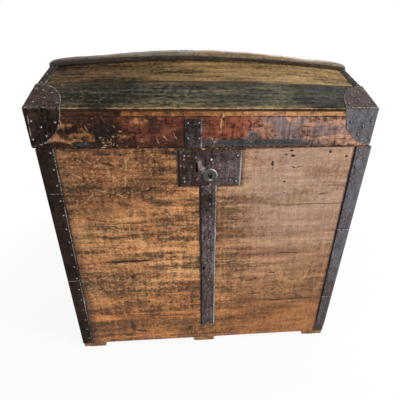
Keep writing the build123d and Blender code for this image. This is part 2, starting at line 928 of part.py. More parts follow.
def make_lid_nails():
    corner = lid_corner_nails()
    points = []
    for flip_x in (-1, 1):
        for flip_y in (-1, 1):
            points += flipped(corner, flip_x, flip_y)
    band = []
    tilt = atan2(panel_rise, -stave_edge)
    normal = (0, -sin(tilt), cos(tilt))
    x = half_width + sheet - end_band_width / 2
    for y in steps(stave_edge + nail_edge_inset, slat_front - nail_edge_inset, nail_spacing):
        z = panel_surface(x, y) + (sheet + sheet_seat_gap) / cos(tilt)
        band.append(((x, y, z), normal))
    for flip_x in (-1, 1):
        for flip_y in (-1, 1):
            points += flipped(band, flip_x, flip_y)
    for side in (-1, 1):
        x = hasp_plate_offset + side * (hasp_plate_width / 2 - nail_edge_inset)
        for z in (hasp_lower_nail_height, hasp_plate_height - nail_edge_inset):
            points.append(((x, front_face - sheet, lid_bottom + z), FRONT))
    end_x = half_width - nail_edge_inset
    for x in steps(-end_x, end_x, slat_nail_spacing):
        rise = arch_height(x, half_width, slat_top_arch)
        z = slat_edge_z + slat_end_thickness + slat_crown / 2 + rise
        points.append(((x, slat_front / 2, z), slat_normal(x)))
    one = nail(nail_head_radius, lid_nail_length)
    nails = [Pos(lid_shift, 0, 0) * placed(one, *place) for place in points]
    for side in (-1, 1):
        low = hinge_axis_z + neck_height + nail_edge_inset
        high = hinge_axis_z + hinge_strap_rise - nail_edge_inset
        for z in (low, high):
            at = (side * hinge_x, half_depth + hinge_leaf_thickness, z)
            nails.append(placed(one, at, BACK))
    save("lid_nails", *nails)


os.makedirs("parts", exist_ok=True)
make_body_boards()
make_bottom_and_runners()
make_body_irons()
make_body_nails()
make_lock()
make_hinges()
make_handles()
make_lid_boards()
make_lid_cover()
make_lid_irons()
make_lid_nails()
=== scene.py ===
"""An old pine travel trunk: weathered boards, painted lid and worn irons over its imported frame."""

import json
from math import atan2, cos, hypot, pi, radians, sin, sqrt

import bmesh
import bpy
import numpy as np
from mathutils import Matrix, Vector


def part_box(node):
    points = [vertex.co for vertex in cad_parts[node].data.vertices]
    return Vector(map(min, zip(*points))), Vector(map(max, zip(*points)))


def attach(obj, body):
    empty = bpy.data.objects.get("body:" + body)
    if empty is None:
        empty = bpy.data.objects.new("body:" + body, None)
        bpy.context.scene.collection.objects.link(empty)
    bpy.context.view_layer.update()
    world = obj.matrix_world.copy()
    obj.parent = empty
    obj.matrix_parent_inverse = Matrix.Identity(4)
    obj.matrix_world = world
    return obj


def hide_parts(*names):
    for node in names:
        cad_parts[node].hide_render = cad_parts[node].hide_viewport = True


bl_info = {
    "name": "Pine travel trunk",
    "version": (1, 0, 0),
    "blender": (4, 5, 0),
    "location": "3D View > Sidebar > Trunk",
    "description": "Dresses the packed trunk in weathered boards, a painted lid and worn irons",
    "category": "Object",
}

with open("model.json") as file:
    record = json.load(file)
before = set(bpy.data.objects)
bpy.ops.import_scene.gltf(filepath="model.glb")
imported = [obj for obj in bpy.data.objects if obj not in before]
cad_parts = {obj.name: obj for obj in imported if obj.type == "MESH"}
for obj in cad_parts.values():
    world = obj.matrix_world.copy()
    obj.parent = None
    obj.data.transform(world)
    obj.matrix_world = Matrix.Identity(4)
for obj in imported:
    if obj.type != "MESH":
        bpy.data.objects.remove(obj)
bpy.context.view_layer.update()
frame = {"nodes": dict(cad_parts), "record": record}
nodes = frame["nodes"]
bodies = frame["record"]["behaviour"]["bodies"]
body_of = {node: body for body, names in bodies.items() for node in names}

mm = 0.001

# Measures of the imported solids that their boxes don't give
sheet = 1.5 * mm
seat_gap = 0.15 * mm
board_thickness = 18 * mm
stave_thickness = 7 * mm
panel_thickness = 9 * mm
panel_step = 3 * mm
panel_rise = 33 * mm
stave_arch = 7 * mm
ridge_arch = 25 * mm
slat_end_thickness = 6 * mm
slat_crown = 3 * mm
lid_bevel_height = 13 * mm
lid_bevel_depth = 2 * mm
bevel_foot = 709.5 * mm
iron_foot_width = 30 * mm
iron_top_width = 39 * mm
iron_foot_cut = 16 * mm
band_width = 20 * mm
band_drop = 20 * mm
strap_lean = 6 * mm
staple_slot_x = -31 * mm
staple_slot_depth = 41 * mm
staple_slot_half_width = 2.5 * mm
staple_slot_half_height = 12 * mm
keyhole_depth = 61 * mm
keyhole_bore = 8.6 * mm

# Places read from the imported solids
body_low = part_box("front_board_1")[0]
body_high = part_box("back_board_3")[1]
half_width = body_high.x
front_face = body_low.y
back_face = body_high.y
lid_board_low, lid_board_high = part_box("lid_front_board")
lid_middle = (lid_board_low.x + lid_board_high.x) / 2
stave_low, stave_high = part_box("lid_front_stave")
stave_edge = stave_high.y
stave_top_front = stave_low.z + stave_thickness
stave_top_back = stave_high.z - stave_arch
stave_slope = (stave_top_back - stave_top_front) / (stave_edge - front_face)
panel_top_front = stave_top_back - panel_step
panel_top_ridge = panel_top_front + panel_rise
slat_low, slat_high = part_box("ridge_slat")
slat_top_arch = slat_high.z - slat_low.z - slat_end_thickness - slat_crown


def length(name, description, default):
    """A length that the user can change."""
    return bpy.props.FloatProperty(
        name=name, description=description, default=default, unit="LENGTH", min=0, precision=4
    )


def paint(name, description, default):
    """A colour that the user can change."""
    return bpy.props.FloatVectorProperty(
        name=name, description=description, default=default, subtype="COLOR", min=0, max=1
    )


class TrunkSizes(bpy.types.PropertyGroup):
    """How worn the boards and irons are."""

    board_edge: length("Board edge", "Rounding of the body boards' edges", 0.6 * mm)
    board_wave: length("Board wave", "How far an old board's face sinks", 0.7 * mm)
    crack_width: length("Crack width", "Half the width of the open front joints", 1.4 * mm)
    crack_depth: length("Crack depth", "Depth of the open front joints", 3.5 * mm)
    lid_chip: length("Lid chip", "Raggedness of the lid's lower edge", 1.6 * mm)
    stave_wear: length("Stave wear", "Rounding of the stave's front arris", 2.2 * mm)
    slat_round: length("Slat rounding", "Rounding of the ridge slat's top edges", 4.5 * mm)
    fold_radius: length("Fold radius", "Outer radius where sheet iron is folded", 3.0 * mm)
    iron_wave: length("Iron wave", "Waviness of the cut edges of the irons", 0.8 * mm)
    iron_lift: length("Iron lift", "How far an iron's edge stands off the wood", 0.5 * mm)
    strap_waist: length("Strap waist", "How much narrower the strap is in its middle", 1.5 * mm)
    plate_dent: length("Plate dent", "Depth of the dent beside the lock slot", 1.2 * mm)


class TrunkColours(bpy.types.PropertyGroup):
    """The finishes of the trunk."""

    honey: paint("Honey pine", "Varnished front, left half", (0.330, 0.156, 0.062))
    # The rosy right half of the front is partly a painted sheen.
    rose: paint("Rose pine", "Varnished front, right half", (0.445, 0.275, 0.190))
    gold: paint("Gold pine", "Varnished front near the floor", (0.325, 0.128, 0.036))
    # Umber also serves as painted shade beside the irons, round the strap, under the lock plate and
    # under the lid.
    umber: paint("Umber", "Old varnish gone dark", (0.085, 0.034, 0.014))
    amber: paint("Amber", "Clear varnish over pale grain", (0.470, 0.215, 0.085))
    tan: paint("Tan varnish", "Paler patches of the front", (0.370, 0.215, 0.090))
    russet: paint("Russet varnish", "Redder patches of the front", (0.265, 0.092, 0.034))
    fleck: paint("Bright flecks", "Where the varnish has chipped off", (0.700, 0.380, 0.180))
    dust: paint("Dust", "Grey bloom on the varnish", (0.235, 0.165, 0.125))
    bare: paint("Bare pine", "Raw wood inside and in scratches", (0.580, 0.380, 0.205))
    # This colour also serves as painted shade: along iron edges, under the lid, the stave and the slat,
    # on nail heads and round the escutcheon.
    dirt_and_shade: paint("Dirt", "Cracks, holes and dark stains", (0.014, 0.010, 0.008))
    red: paint("Red stain", "Front board of the lid", (0.225, 0.066, 0.036))
    # The dark left end of the lid's front is partly painted shade.
    mahogany: paint("Dark stain", "Left end of the lid's front board", (0.040, 0.014, 0.008))
    scuffed: paint("Scuffed stain", "Purple grey scuffs right on the lid's front", (0.195, 0.150, 0.155))
    rust_wood: paint("Worn stain", "Lid board where the stain is rubbed", (0.400, 0.220, 0.150))
    band: paint("Blue black paint", "Band along the foot of the lid", (0.048, 0.056, 0.066))
    stave: paint("Green black paint", "Staves of the lid", (0.050, 0.045, 0.026))
    ochre: paint("Ochre", "Panels of the lid", (0.235, 0.145, 0.060))
    slat: paint("Slat wood", "Ridge slat", (0.225, 0.145, 0.075))
    # The grey of the ridge slat's top is partly a painted sheen.
    bloom_and_sheen: paint("Grey bloom", "Upper part of the ridge slat", (0.165, 0.178, 0.155))
    iron: paint("Dark iron", "Sheet iron on the left", (0.036, 0.021, 0.016))
    strap_iron: paint("Strap iron", "Strap and lock plate", (0.125, 0.094, 0.097))
    # The grey of the right-hand irons is partly a painted reflection of the light from the right; the
    # left ones are dark.
    grey_iron: paint("Grey iron", "Sheet iron on the right, worn to grey", (0.145, 0.148, 0.168))
    brown_iron: paint("Browned iron", "Foot of the right iron, lid irons' tops", (0.075, 0.050, 0.038))
    rust: paint("Rust", "Rust on all irons", (0.330, 0.130, 0.060))
    rust_spot: paint("Rust spots", "Pale rust spots of the lock plate", (0.400, 0.215, 0.145))
    # The dent's colour is partly a painted highlight.
    shine: paint("Polished dent", "Beside the slot of the lock plate", (0.520, 0.400, 0.370))
    # Bright iron also serves as painted highlights on iron edges, folds and seams, on nail crowns and on
    # the escutcheon's rim.
    bright: paint("Bright iron", "Scratched edges of the irons", (0.500, 0.490, 0.480))
    patina: paint("Green grey patina", "Escutcheon", (0.085, 0.095, 0.092))
    brass: paint("Old brass", "Pin of the keyhole and the ring's foot", (0.520, 0.480, 0.330))
    floor: paint("Floor", "Studio floor", (0.92, 0.92, 0.92))


# Mesh making
def ripple(a, b, wavelength, seed):
    """A smooth wave from about -1 to 1 over two coordinates, made of crossed sines."""
    rng = np.random.default_rng(seed)
    total = np.zeros(np.broadcast(a, b).shape)
    for turn, stretch, phase in rng.uniform((0, 0.6, 0), (pi, 1.7, 2 * pi), (7, 3)):
        across = a * cos(turn) + b * sin(turn)
        total = total + np.sin(across * 2 * pi / (wavelength * stretch) + phase)
    return np.clip(total / 3.2, -1, 1)


def hollows(a, b, wavelength, seed):
    """The same wave, from about 0 to 1."""
    return 0.5 + 0.5 * ripple(a, b, wavelength, seed)


def ramp(values, low, high):
    """0 below low, 1 above high, smooth in between."""
    share = np.clip((values - low) / (high - low), 0, 1)
    return share * share * (3 - 2 * share)


def lines(low, high, step, radius, extra=()):
    """Places of lattice lines from low to high, closer together at rounded ends."""
    count = max(1, round((high - low - 2 * radius) / step))
    middle = np.linspace(low + radius, high - radius, count + 1)
    near = [low, low + radius * 0.12, low + radius * 0.45]
    far = [high - radius * 0.45, high - radius * 0.12, high]
    inside = [value for value in extra if low < value < high]
    return np.unique(np.round(np.concatenate([near, middle, far, inside]), 6))


def lattice(xs, ys, zs, filled=None):
    """Points and faces of the outside of a block cut into cells, some of them left out."""
    middles = [(places[:-1] + places[1:]) / 2 for places in (xs, ys, zs)]
    cells = np.ones([len(m) for m in middles], bool)
    if filled is not None:
        cells = filled(*np.meshgrid(*middles, indexing="ij"))
    padded = np.pad(cells, 1).astype(int)
    number = np.arange(len(xs) * len(ys) * len(zs)).reshape(len(xs), len(ys), len(zs))
    faces = []
    for axis in range(3):
        turned = np.moveaxis(padded, axis, 0)[:, 1:-1, 1:-1]
        i, j, k = np.nonzero(np.diff(turned, axis=0))
        corner = np.moveaxis(number, axis, 0)
        quad = [corner[i, j, k], corner[i, j + 1, k], corner[i, j + 1, k + 1], corner[i, j, k + 1]]
        faces.append(np.stack(quad, axis=1))
    faces = np.concatenate(faces)
    used, faces = np.unique(faces, return_inverse=True)
    grid = np.stack(np.meshgrid(xs, ys, zs, indexing="ij"), axis=-1).reshape(-1, 3)
    return grid[used], faces.reshape(-1, 4)


def rounded(points, low, high, radius):
    """Rounds the edges of a block's surface points."""
    inner = np.clip(points, np.array(low) + radius, np.array(high) - radius)
    out = points - inner
    reach = np.linalg.norm(out, axis=1, keepdims=True)
    largest = np.abs(out).max(axis=1, keepdims=True)
    return inner + out * np.divide(largest, reach, out=np.ones_like(reach), where=reach > 0)


def folded(depths, radius, inward):
    """Depths below the faces that meet at a fold in sheet iron, with the fold rounded."""
    inside = np.maximum(depths, inward)
    centre = np.maximum(inside, radius)
    out = inside - centre
    reach = np.linalg.norm(out, axis=-1, keepdims=True)
    largest = np.abs(out).max(axis=-1, keepdims=True)
    return centre + out * np.divide(largest, reach, out=np.ones_like(reach), where=reach > 0)


def quads(index):
    """The faces of a grid of point numbers."""
    corners = [index[:-1, :-1], index[1:, :-1], index[1:, 1:], index[:-1, 1:]]
    return np.stack(corners, axis=-1).reshape(-1, 4)


def thin_edge(outer, inner, wear):
    """Thins a sheet towards its rim, over the distance wear."""
    shares = np.ones(outer.shape[:2])
    for axis in (0, 1):
        hops = np.linalg.norm(np.diff(outer, axis=axis), axis=-1)
        along = np.cumsum(hops, axis=axis)
        start = np.zeros_like(np.take(along, [0], axis=axis))
        walked = np.concatenate([start, along], axis=axis)
        total = np.take(walked, [-1], axis=axis)
        near = np.clip(np.minimum(walked, total - walked) / wear, 0, 1)
        shares = np.minimum(shares, 0.35 + 0.65 * np.sqrt(1 - (1 - near) ** 2))
    return inner + (outer - inner) * shares[..., None]


def edge_of(rim, count):
    """The faces between a rim of point numbers and the same rim, count numbers further."""
    return np.stack([rim[:-1], rim[1:], rim[1:] + count, rim[:-1] + count], axis=1)


def sheet_of(outer, inner, wear=0.8 * mm):
    """Points and faces of a closed sheet between an outer and an inner grid of points."""
    outer = thin_edge(outer, inner, wear)
    rows, columns = outer.shape[:2]
    index = np.arange(rows * columns).reshape(rows, columns)
    under = index + rows * columns
    rim = np.concatenate([index[0, :], index[1:, -1], index[-1, -2::-1], index[-2::-1, 0]])
    faces = np.concatenate([quads(index), quads(under)[:, ::-1], edge_of(rim, rows * columns)])
    return np.concatenate([outer.reshape(-1, 3), inner.reshape(-1, 3)]), faces


def together(*meshes):
    """Several sets of points and faces as one."""
    points, faces, count = [], [], 0
    for some_points, some_faces in meshes:
        points.append(some_points)
        faces.append(some_faces + count)
        count += len(some_points)
    return np.concatenate(points), np.concatenate(faces)


def mirrored(mesh, axis, middle=0.0):
    """The same mesh on the other side of a plane."""
    points, faces = mesh
    points = points.copy()
    points[:, axis] = 2 * middle - points[:, axis]
    return points, faces[:, ::-1]


def make_piece(name, mesh, caps=(), sharp=32):
    """An object of that name from points and faces."""
    points, faces = mesh
    data = bpy.data.meshes.new(name)
    data.from_pydata(points.tolist(), [], faces.tolist() + [list(cap) for cap in caps])
    shape = bmesh.new()
    shape.from_mesh(data)
    bmesh.ops.recalc_face_normals(shape, faces=shape.faces)
    shape.to_mesh(data)
    shape.free()
    data.shade_smooth()
    data.set_sharp_from_angle(angle=radians(sharp))
    piece = bpy.data.objects.new(name, data)
    bpy.context.scene.collection.objects.link(piece)
    return piece


def dress(piece, node, material):
    """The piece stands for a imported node, rides where it rides and wears a material."""
    piece.data.materials.append(material)
    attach(piece, body_of[node])
    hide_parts(node)


def coat(node, material):
    """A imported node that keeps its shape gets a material."""
    slots = nodes[node].data.materials
    slots.clear()
    slots.append(material)


# Material making
class Value:
    """A number that varies over a surface. Sums, products and the like add Math nodes."""

    def __init__(self, recipe, socket):
        self.recipe = recipe
        self.socket = socket

    def __add__(self, other):
        return self.recipe.math("ADD", self, other)

    def __radd__(self, other):
        return self.recipe.math("ADD", other, self)

    def __sub__(self, other):
        return self.recipe.math("SUBTRACT", self, other)

    def __rsub__(self, other):
        return self.recipe.math("SUBTRACT", other, self)

    def __mul__(self, other):
        return self.recipe.math("MULTIPLY", self, other)

    def __rmul__(self, other):
        return self.recipe.math("MULTIPLY", other, self)

    def __truediv__(self, other):
        return self.recipe.math("DIVIDE", self, other)

    def __pow__(self, power):
        return self.recipe.math("POWER", self, power)

    def __abs__(self):
        return self.recipe.math("ABSOLUTE", self)

    def at_least(self, other):
        return self.recipe.math("MAXIMUM", self, other)

    def at_most(self, other):
        return self.recipe.math("MINIMUM", self, other)

    def clamped(self):
        return self.recipe.value("ShaderNodeClamp", None, {"Value": self})

    def between(self, low, high):
        """0 at low, 1 at high and smooth in between; low may be the larger."""
        settings = {"interpolation_type": "SMOOTHSTEP"}
        if low < high:
            sockets = {"Value": self, "From Min": low, "From Max": high}
            return self.recipe.value("ShaderNodeMapRange", settings, sockets)
        sockets = {"Value": self, "From Min": high, "From Max": low}
        return 1 - self.recipe.value("ShaderNodeMapRange", settings, sockets)


class Recipe:
    """A material while it is put together."""

    def __init__(self, name):
        self.material = bpy.data.materials.new(name)
        self.material.use_nodes = True
        self.tree = self.material.node_tree
        self.tree.nodes.clear()
        self.place = self.node("ShaderNodeTexCoord").outputs["Object"]
        parts = self.node("ShaderNodeSeparateXYZ", None, {"Vector": self.place}).outputs
        self.x, self.y, self.z = (Value(self, part) for part in parts)

    def node(self, kind, settings=None, sockets=None):
        """A node of a type, with its settings made first and then its sockets filled."""
        made = self.tree.nodes.new(kind)
        for key, setting in (settings or {}).items():
            setattr(made, key, setting)
        for key, content in (sockets or {}).items():
            if isinstance(content, Value):
                content = content.socket
            if isinstance(content, bpy.types.NodeSocket):
                self.tree.links.new(content, made.inputs[key])
            else:
                made.inputs[key].default_value = content
        return made

    def value(self, kind, settings, sockets):
        """The first output of a new node, as a number."""
        return Value(self, self.node(kind, settings, sockets).outputs[0])

    def math(self, operation, *numbers):
        return self.value("ShaderNodeMath", {"operation": operation}, dict(enumerate(numbers)))

    def vector(self, operation, *vectors):
        settings = {"operation": operation}
        return self.node("ShaderNodeVectorMath", settings, dict(enumerate(vectors))).outputs[0]

    def mix(self, first, second, factor, how="MIX"):
        """Two colours mixed; a colour is three numbers or a socket."""
        ends = []
        for colour in (first, second):
            if not isinstance(colour, bpy.types.NodeSocket):
                colour = (*colour, 1.0)
            ends.append(colour)
        settings = {"data_type": "RGBA", "blend_type": how}
        return self.node("ShaderNodeMix", settings, {0: factor, 6: ends[0], 7: ends[1]}).outputs[2]

    def shaded(self, colour, value):
        """A colour made lighter or darker by a number."""
        settings = {"operation": "SCALE"}
        return self.node("ShaderNodeVectorMath", settings, {0: colour, "Scale": value}).outputs[0]

    def noise(self, stretch, detail=3.0, roughness=0.55, place=None, distortion=0.0):
        """Noise about zero, mostly within 1; stretch is its features per metre in X, Y and Z."""
        at = self.vector("MULTIPLY", place or self.place, stretch)
        sockets = {"Vector": at, "Scale": 1.0, "Detail": detail, "Roughness": roughness}
        sockets["Distortion"] = distortion
        return (self.value("ShaderNodeTexNoise", None, sockets) - 0.5) * 7.5

    def shaken(self, stretch, reach):
        """X and Z on the surface, shifted a little by noise so that marks aren't straight."""
        at = self.vector("MULTIPLY", self.place, stretch)
        sockets = {"Vector": at, "Scale": 1.0, "Detail": 2.0}
        cloud = self.node("ShaderNodeTexNoise", None, sockets).outputs["Color"]
        parts = self.node("ShaderNodeSeparateXYZ", None, {"Vector": cloud}).outputs
        return (
            self.x + (Value(self, parts["X"]) - 0.5) * reach,
            self.z + (Value(self, parts["Z"]) - 0.5) * reach,
        )

    def slanted(self, x, z, along, up, start):
        """The number x * along + z * up + start."""
        return self.math("MULTIPLY_ADD", x, along, self.math("MULTIPLY_ADD", z, up, start))

    def surface(self, colour, roughness, height, depth, **constants):
        """Finishes the material: colour, roughness, relief and what is the same all over."""
        sockets = {"Base Color": colour, "Roughness": roughness}
        if height is not None:
            relief = {"Strength": 1.0, "Distance": depth, "Height": height}
            sockets["Normal"] = self.node("ShaderNodeBump", None, relief).outputs[0]
        sockets.update({key.replace("_", " "): value for key, value in constants.items()})
        shader = self.node("ShaderNodeBsdfPrincipled", None, sockets)
        self.node("ShaderNodeOutputMaterial", None, {"Surface": shader.outputs[0]})
        return self.material


def kept(name, build, *colouring, **settings):
    """The material of that name, made the first time it is asked for."""
    return bpy.data.materials.get(name) or build(name, *colouring, **settings)


def colours():
    return bpy.context.scene.trunk_colours


def sizes():
    return bpy.context.scene.trunk_sizes


def marks(recipe, place, patches):
    """1 in the middle and 0 at the rim of any of several ellipses on the front or back.

    Each has the X and Z of its middle, its length and width in mm, and its turn in degrees.
    """
    nearest = 4.0
    for across, up, long, wide, turn in patches:
        ahead, aside = cos(radians(turn)), sin(radians(turn))
        half_long, half_wide = long / 2 * mm, wide / 2 * mm
        start = -(across * ahead + up * aside) * mm
        first = recipe.slanted(*place, ahead / half_long, aside / half_long, start / half_long)
        start = (across * aside - up * ahead) * mm
        second = recipe.slanted(*place, -aside / half_wide, ahead / half_wide, start / half_wide)
        square = recipe.math("MULTIPLY_ADD", first, first, second * second)
        nearest = square.at_most(nearest)
    return (1 - nearest**0.5).at_least(0.0)


def strokes(recipe, place, ends):
    """The same for thin strokes; each has its two ends, as X and Z, and its width, in mm."""
    patches = []
    for x0, z0, x1, z1, width in ends:
        run = hypot(x1 - x0, z1 - z0) * 1.15
        turn = atan2(z1 - z0, x1 - x0) * 180 / pi
        patches.append(((x0 + x1) / 2, (z0 + z1) / 2, run, width, turn))
    return marks(recipe, place, patches)


def grain(recipe, axis, shift=None):
    """Streaks, chatter, mottle and patches of planed pine whose grain runs along an axis."""
    streak = [110.0, 110.0, 110.0]
    streak[axis] = 7.0
    chatter = [12.0, 12.0, 12.0]
    chatter[axis] = 150.0
    patch = [26.0, 26.0, 26.0]
    patch[axis] = 6.0
    return (
        recipe.noise(streak, 5.0, 0.75, shift, 0.15),
        recipe.noise(chatter, 3.0, 0.6, shift),
        recipe.noise((100.0, 100.0, 130.0), 4.0, 0.7, shift),
        recipe.noise(patch, 4.0, 0.7, shift, 0.3),
    )


def inner_pine(recipe, tone, patch):
    """The pale wood on the inside of the body's boards."""
    paints = colours()
    pale = recipe.mix(paints.bare, paints.gold, (patch * 0.2 + 0.4).clamped())
    return recipe.shaded(pale, tone * 0.1 + 0.8)


def unpainted(recipe, tone):
    """The pale wood on the inside of the lid's boards."""
    return recipe.shaded(colours().bare, 0.7 + tone * 0.1)


def front_pine(name):
    """The varnished front: honey and rose pine, dark in places, scratched and stained, with a painted
    sheen on the right and painted shade by the irons and under the lid.
    """
    paints = colours()
    recipe = Recipe(name)
    x, y, z = recipe.x, recipe.y, recipe.z
    place = recipe.shaken((90.0, 90.0, 90.0), 9 * mm)
    streak, chatter, mottle, patch = grain(recipe, 0)

    # Paler, rosier right half: partly a painted sheen where the light falls from the right.
    right = (x + patch * 12 * mm).between(-40 * mm, 170 * mm)
    pale = right * (0.15 + (z + patch * 14 * mm).between(230 * mm, 540 * mm) * 0.85)
    colour = recipe.mix(paints.honey, paints.rose, pale)
    low = (z + patch * 10 * mm).between(260 * mm, 100 * mm)
    colour = recipe.mix(colour, paints.gold, low * 0.9)
    # sunny is a painted pool of light over the left middle; the lower right is made a little darker.
    sunny = marks(recipe, (x, z), ((-95, 300, 280, 560, 0),))
    corner = marks(recipe, (x, z), ((-245, 590, 430, 330, 12),))
    colour = recipe.mix(colour, paints.gold, (corner * 2).clamped() * 0.5)
    colour = recipe.shaded(colour, 1.0 + (sunny * 1.6).clamped() * 0.18 - right * low * 0.14)
    calm = right * z.between(180 * mm, 480 * mm)
    swing = 1.4 - right * 0.5 - calm * 0.4 - low * 0.2
    long = recipe.noise((4.0, 60.0, 75.0), 5.0, 0.65, None, 0.2)
    speckle = recipe.noise((210.0, 210.0, 240.0), 2.0, 0.6)
    tone = long * 0.4 + streak * 0.3 + mottle * 0.3 + speckle * 0.28 + patch * 0.6 + chatter * 0.2
    hue = recipe.noise((8.0, 12.0, 13.0), 4.0, 0.6, None, 0.6)
    edge_of_hue = hue.between(0.2, 0.9) * (1 - right * 0.6) * (1 - low)
    colour = recipe.mix(colour, paints.tan, edge_of_hue * 0.55)
    colour = recipe.mix(colour, paints.russet, hue.between(-0.1, -1.2) * 0.5 * (1 - right * 0.5))
    dark = (corner * 1.8 + patch * 0.12).clamped() * 0.66
    # Painted shade: a dark band beside the left iron, bands along the irons' inner edges, round the
    # strap (mostly on its left) and under the lock plate.
    beside = (x + mottle * 3 * mm).between(-313 * mm, -345 * mm)
    edge = iron_edge(recipe)
    rim = (edge + mottle * mm).between(-8 * mm, -2 * mm) * 0.85
    strap_rim = (abs(strap_across(recipe)) + mottle * 0.8 * mm).between(25 * mm, 21.5 * mm)
    strap_rim = strap_rim * z.between(66 * mm, 74 * mm)
    strap_rim = strap_rim * (z + mottle * 3 * mm).between(549 * mm, 540 * mm)
    under = (z + mottle * 1.2 * mm).between(538 * mm, 545 * mm) * abs(x).between(84 * mm, 76 * mm)
    strap_rim = strap_rim * (0.3 + x.between(4 * mm, -8 * mm) * 0.6)
    # Painted shade, with some grime, under the lid's lower edge; it reaches lower in the middle, as if
    # the edge sagged.
    sag = (x / half_width) ** 2 * 5 * mm
    lid_shade_and_grime = (z + mottle * 0.8 * mm - sag).between(635 * mm, 637 * mm)
    shaded = beside.at_least(rim).at_least(strap_rim).at_least(under * 0.8).at_least(lid_shade_and_grime)
    dark = dark.at_least((shaded + mottle * 0.1 * shaded) * 0.85)
    colour = recipe.mix(colour, paints.umber, dark.clamped())
    colour = recipe.shaded(colour, (1.0 + tone * swing).at_least(0.22))
    # Grey dust over the paler right half, partly a painted sheen.
    bloom_and_sheen = (patch * 0.5 + streak * 0.5 + 0.1).clamped() * pale * (1 - low)
    colour = recipe.mix(colour, paints.dust, bloom_and_sheen * 0.45)
    glow = (patch * -0.6 - streak * 0.4 + mottle * 0.2 - 0.1).clamped() * (1 - dark.clamped())
    colour = recipe.mix(colour, paints.amber, glow * 0.4)
    flecks = speckle + mottle * 0.4 + patch * 0.3 - 0.85 - right * 0.3 - calm * 0.7
    flecks = flecks.clamped() * (1 - beside)
    colour = recipe.mix(colour, paints.fleck, flecks * 0.75)
    pits = (0.0 - speckle * 0.7 - mottle * 0.6 - 1.4 - calm * 0.2).clamped()
    colour = recipe.mix(colour, paints.dirt_and_shade, pits * 0.8)

    scratches = strokes(recipe, place, (
        (-272, 542, -225, 530, 3.4), (-225, 531, -198, 515, 4.2), (-290, 511, -270, 535, 2.8),
        (-236, 592, -228, 573, 3.4), (-224, 578, -222, 557, 3.2), (-223, 557, -219, 541, 2.6),
        (-262, 447, -208, 412, 3.4), (-185, 591, -173, 578, 2.8), (-190, 622, -192, 590, 3.6),
        (-194, 578, -198, 540, 3.2), (-179, 568, -172, 552, 2.6), (166, 396, 164, 362, 4.4),
        (152, 594, 156, 582, 4.4),
    ))
    stains = marks(recipe, place, (
        (-118, 503, 118, 22, -3), (-150, 510, 60, 14, 14), (-160, 520, 14, 30, 20),
        (-206, 500, 58, 18, -16), (-238, 402, 86, 14, 3), (-262, 404, 34, 20, 0),
        (-242, 628, 64, 16, 0), (-98, 632, 34, 20, 0), (-222, 78, 24, 62, 10),
        (-196, 58, 60, 18, -15), (-236, 42, 40, 18, 0), (-52, 62, 26, 34, 0),
        (132, 192, 66, 9, 2), (121, 244, 44, 8, 0), (286, 517, 50, 7, 8),
        (-92, 281, 26, 8, -10),
    ))
    more = strokes(recipe, place, (
        (-168, 530, -122, 545, 8.0), (-122, 545, -80, 563, 5.0), (-256, 612, -205, 592, 13.0),
        (37, 303, 81, 320, 7.0),
    ))
    stains = stains.at_least(more)
    faint = marks(recipe, place, (
        (-300, 420, 60, 90, 20), (-60, 610, 60, 50, 0), (-150, 560, 150, 46, 12),
        (-255, 480, 110, 50, 0), (104, 440, 40, 110, 5), (205, 340, 260, 60, 3),
        (300, 210, 100, 60, 20), (120, 170, 150, 30, 0), (-230, 330, 180, 22, 1),
    ))
    holes = marks(recipe, place, (
        (-202, 625, 10, 8, 0), (-108, 589, 11, 6, 0), (-82, 533, 6, 6, 0), (-84, 628, 11, 9, 0),
        (189, 630, 12, 6, 0), (194, 618, 13, 6, 0), (176, 622, 12, 3, 10),
        (147, 600, 6, 13, 10), (184, 524, 6, 6, 0), (181, 553, 7, 5, 0), (323, 616, 9, 6, 40),
        (282, 629, 8, 6, 0), (-206, 273, 10, 9, 0), (-124, 244, 9, 8, 0), (222, 258, 7, 6, 0),
        (137, 249, 9, 6, 0), (-292, 223, 6, 6, 0), (-173, 205, 6, 5, 0),
    ))
    more = strokes(recipe, place, (
        (172, 270, 190, 266, 5.0), (190, 593, 206, 588, 2.6), (206, 588, 222, 594, 2.4),
        (-276, 324, -205, 326, 5.0), (-215, 326, -140, 328, 6.5), (-150, 327, -40, 330, 2.4),
        (-123, 307, -100, 287, 2.2), (122, 335, 142, 335, 3.4), (180, 337, 258, 338, 3.0),
        (205, 489, 347, 490, 2.0), (150, 161, 347, 163, 2.6), (-160, 532, -126, 544, 3.4),
    ))
    holes = holes.at_least(more)
    smudge = (faint * 1.4 + mottle * 0.16 + streak * 0.2).between(0.3, 1.1) * 0.42
    colour = recipe.mix(colour, paints.umber, smudge)
    ragged = mottle * 0.13 + streak * 0.10
    stain = (stains + ragged).between(0.16, 0.62) * stains.between(0.0, 0.12)
    colour = recipe.mix(colour, paints.dirt_and_shade, stain * 0.72)
    scratch = (scratches + mottle * 0.12).between(0.1, 0.6) * scratches.between(0.0, 0.1)
    colour = recipe.mix(colour, paints.bare, scratch * 0.8)
    hole = (holes * 3.0 + mottle * 0.3).clamped() * holes.between(0.0, 0.1)
    colour = recipe.mix(colour, paints.dirt_and_shade, hole * 0.95)
    inside = y.between(front_face + 3 * mm, front_face + 6 * mm)
    colour = recipe.mix(colour, inner_pine(recipe, tone, patch), inside)
    # Painted shadow lines along the irons' inner edges and the strap's left edge.
    tight = (edge + mottle * 0.5 * mm).between(-4.5 * mm, -1.5 * mm)
    tight = tight.at_least(strap_rim * x.between(0, -10 * mm) * 1.2)
    colour = recipe.mix(colour, paints.dirt_and_shade, tight * 0.75)
    plate_low, plate_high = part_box("lock_plate")
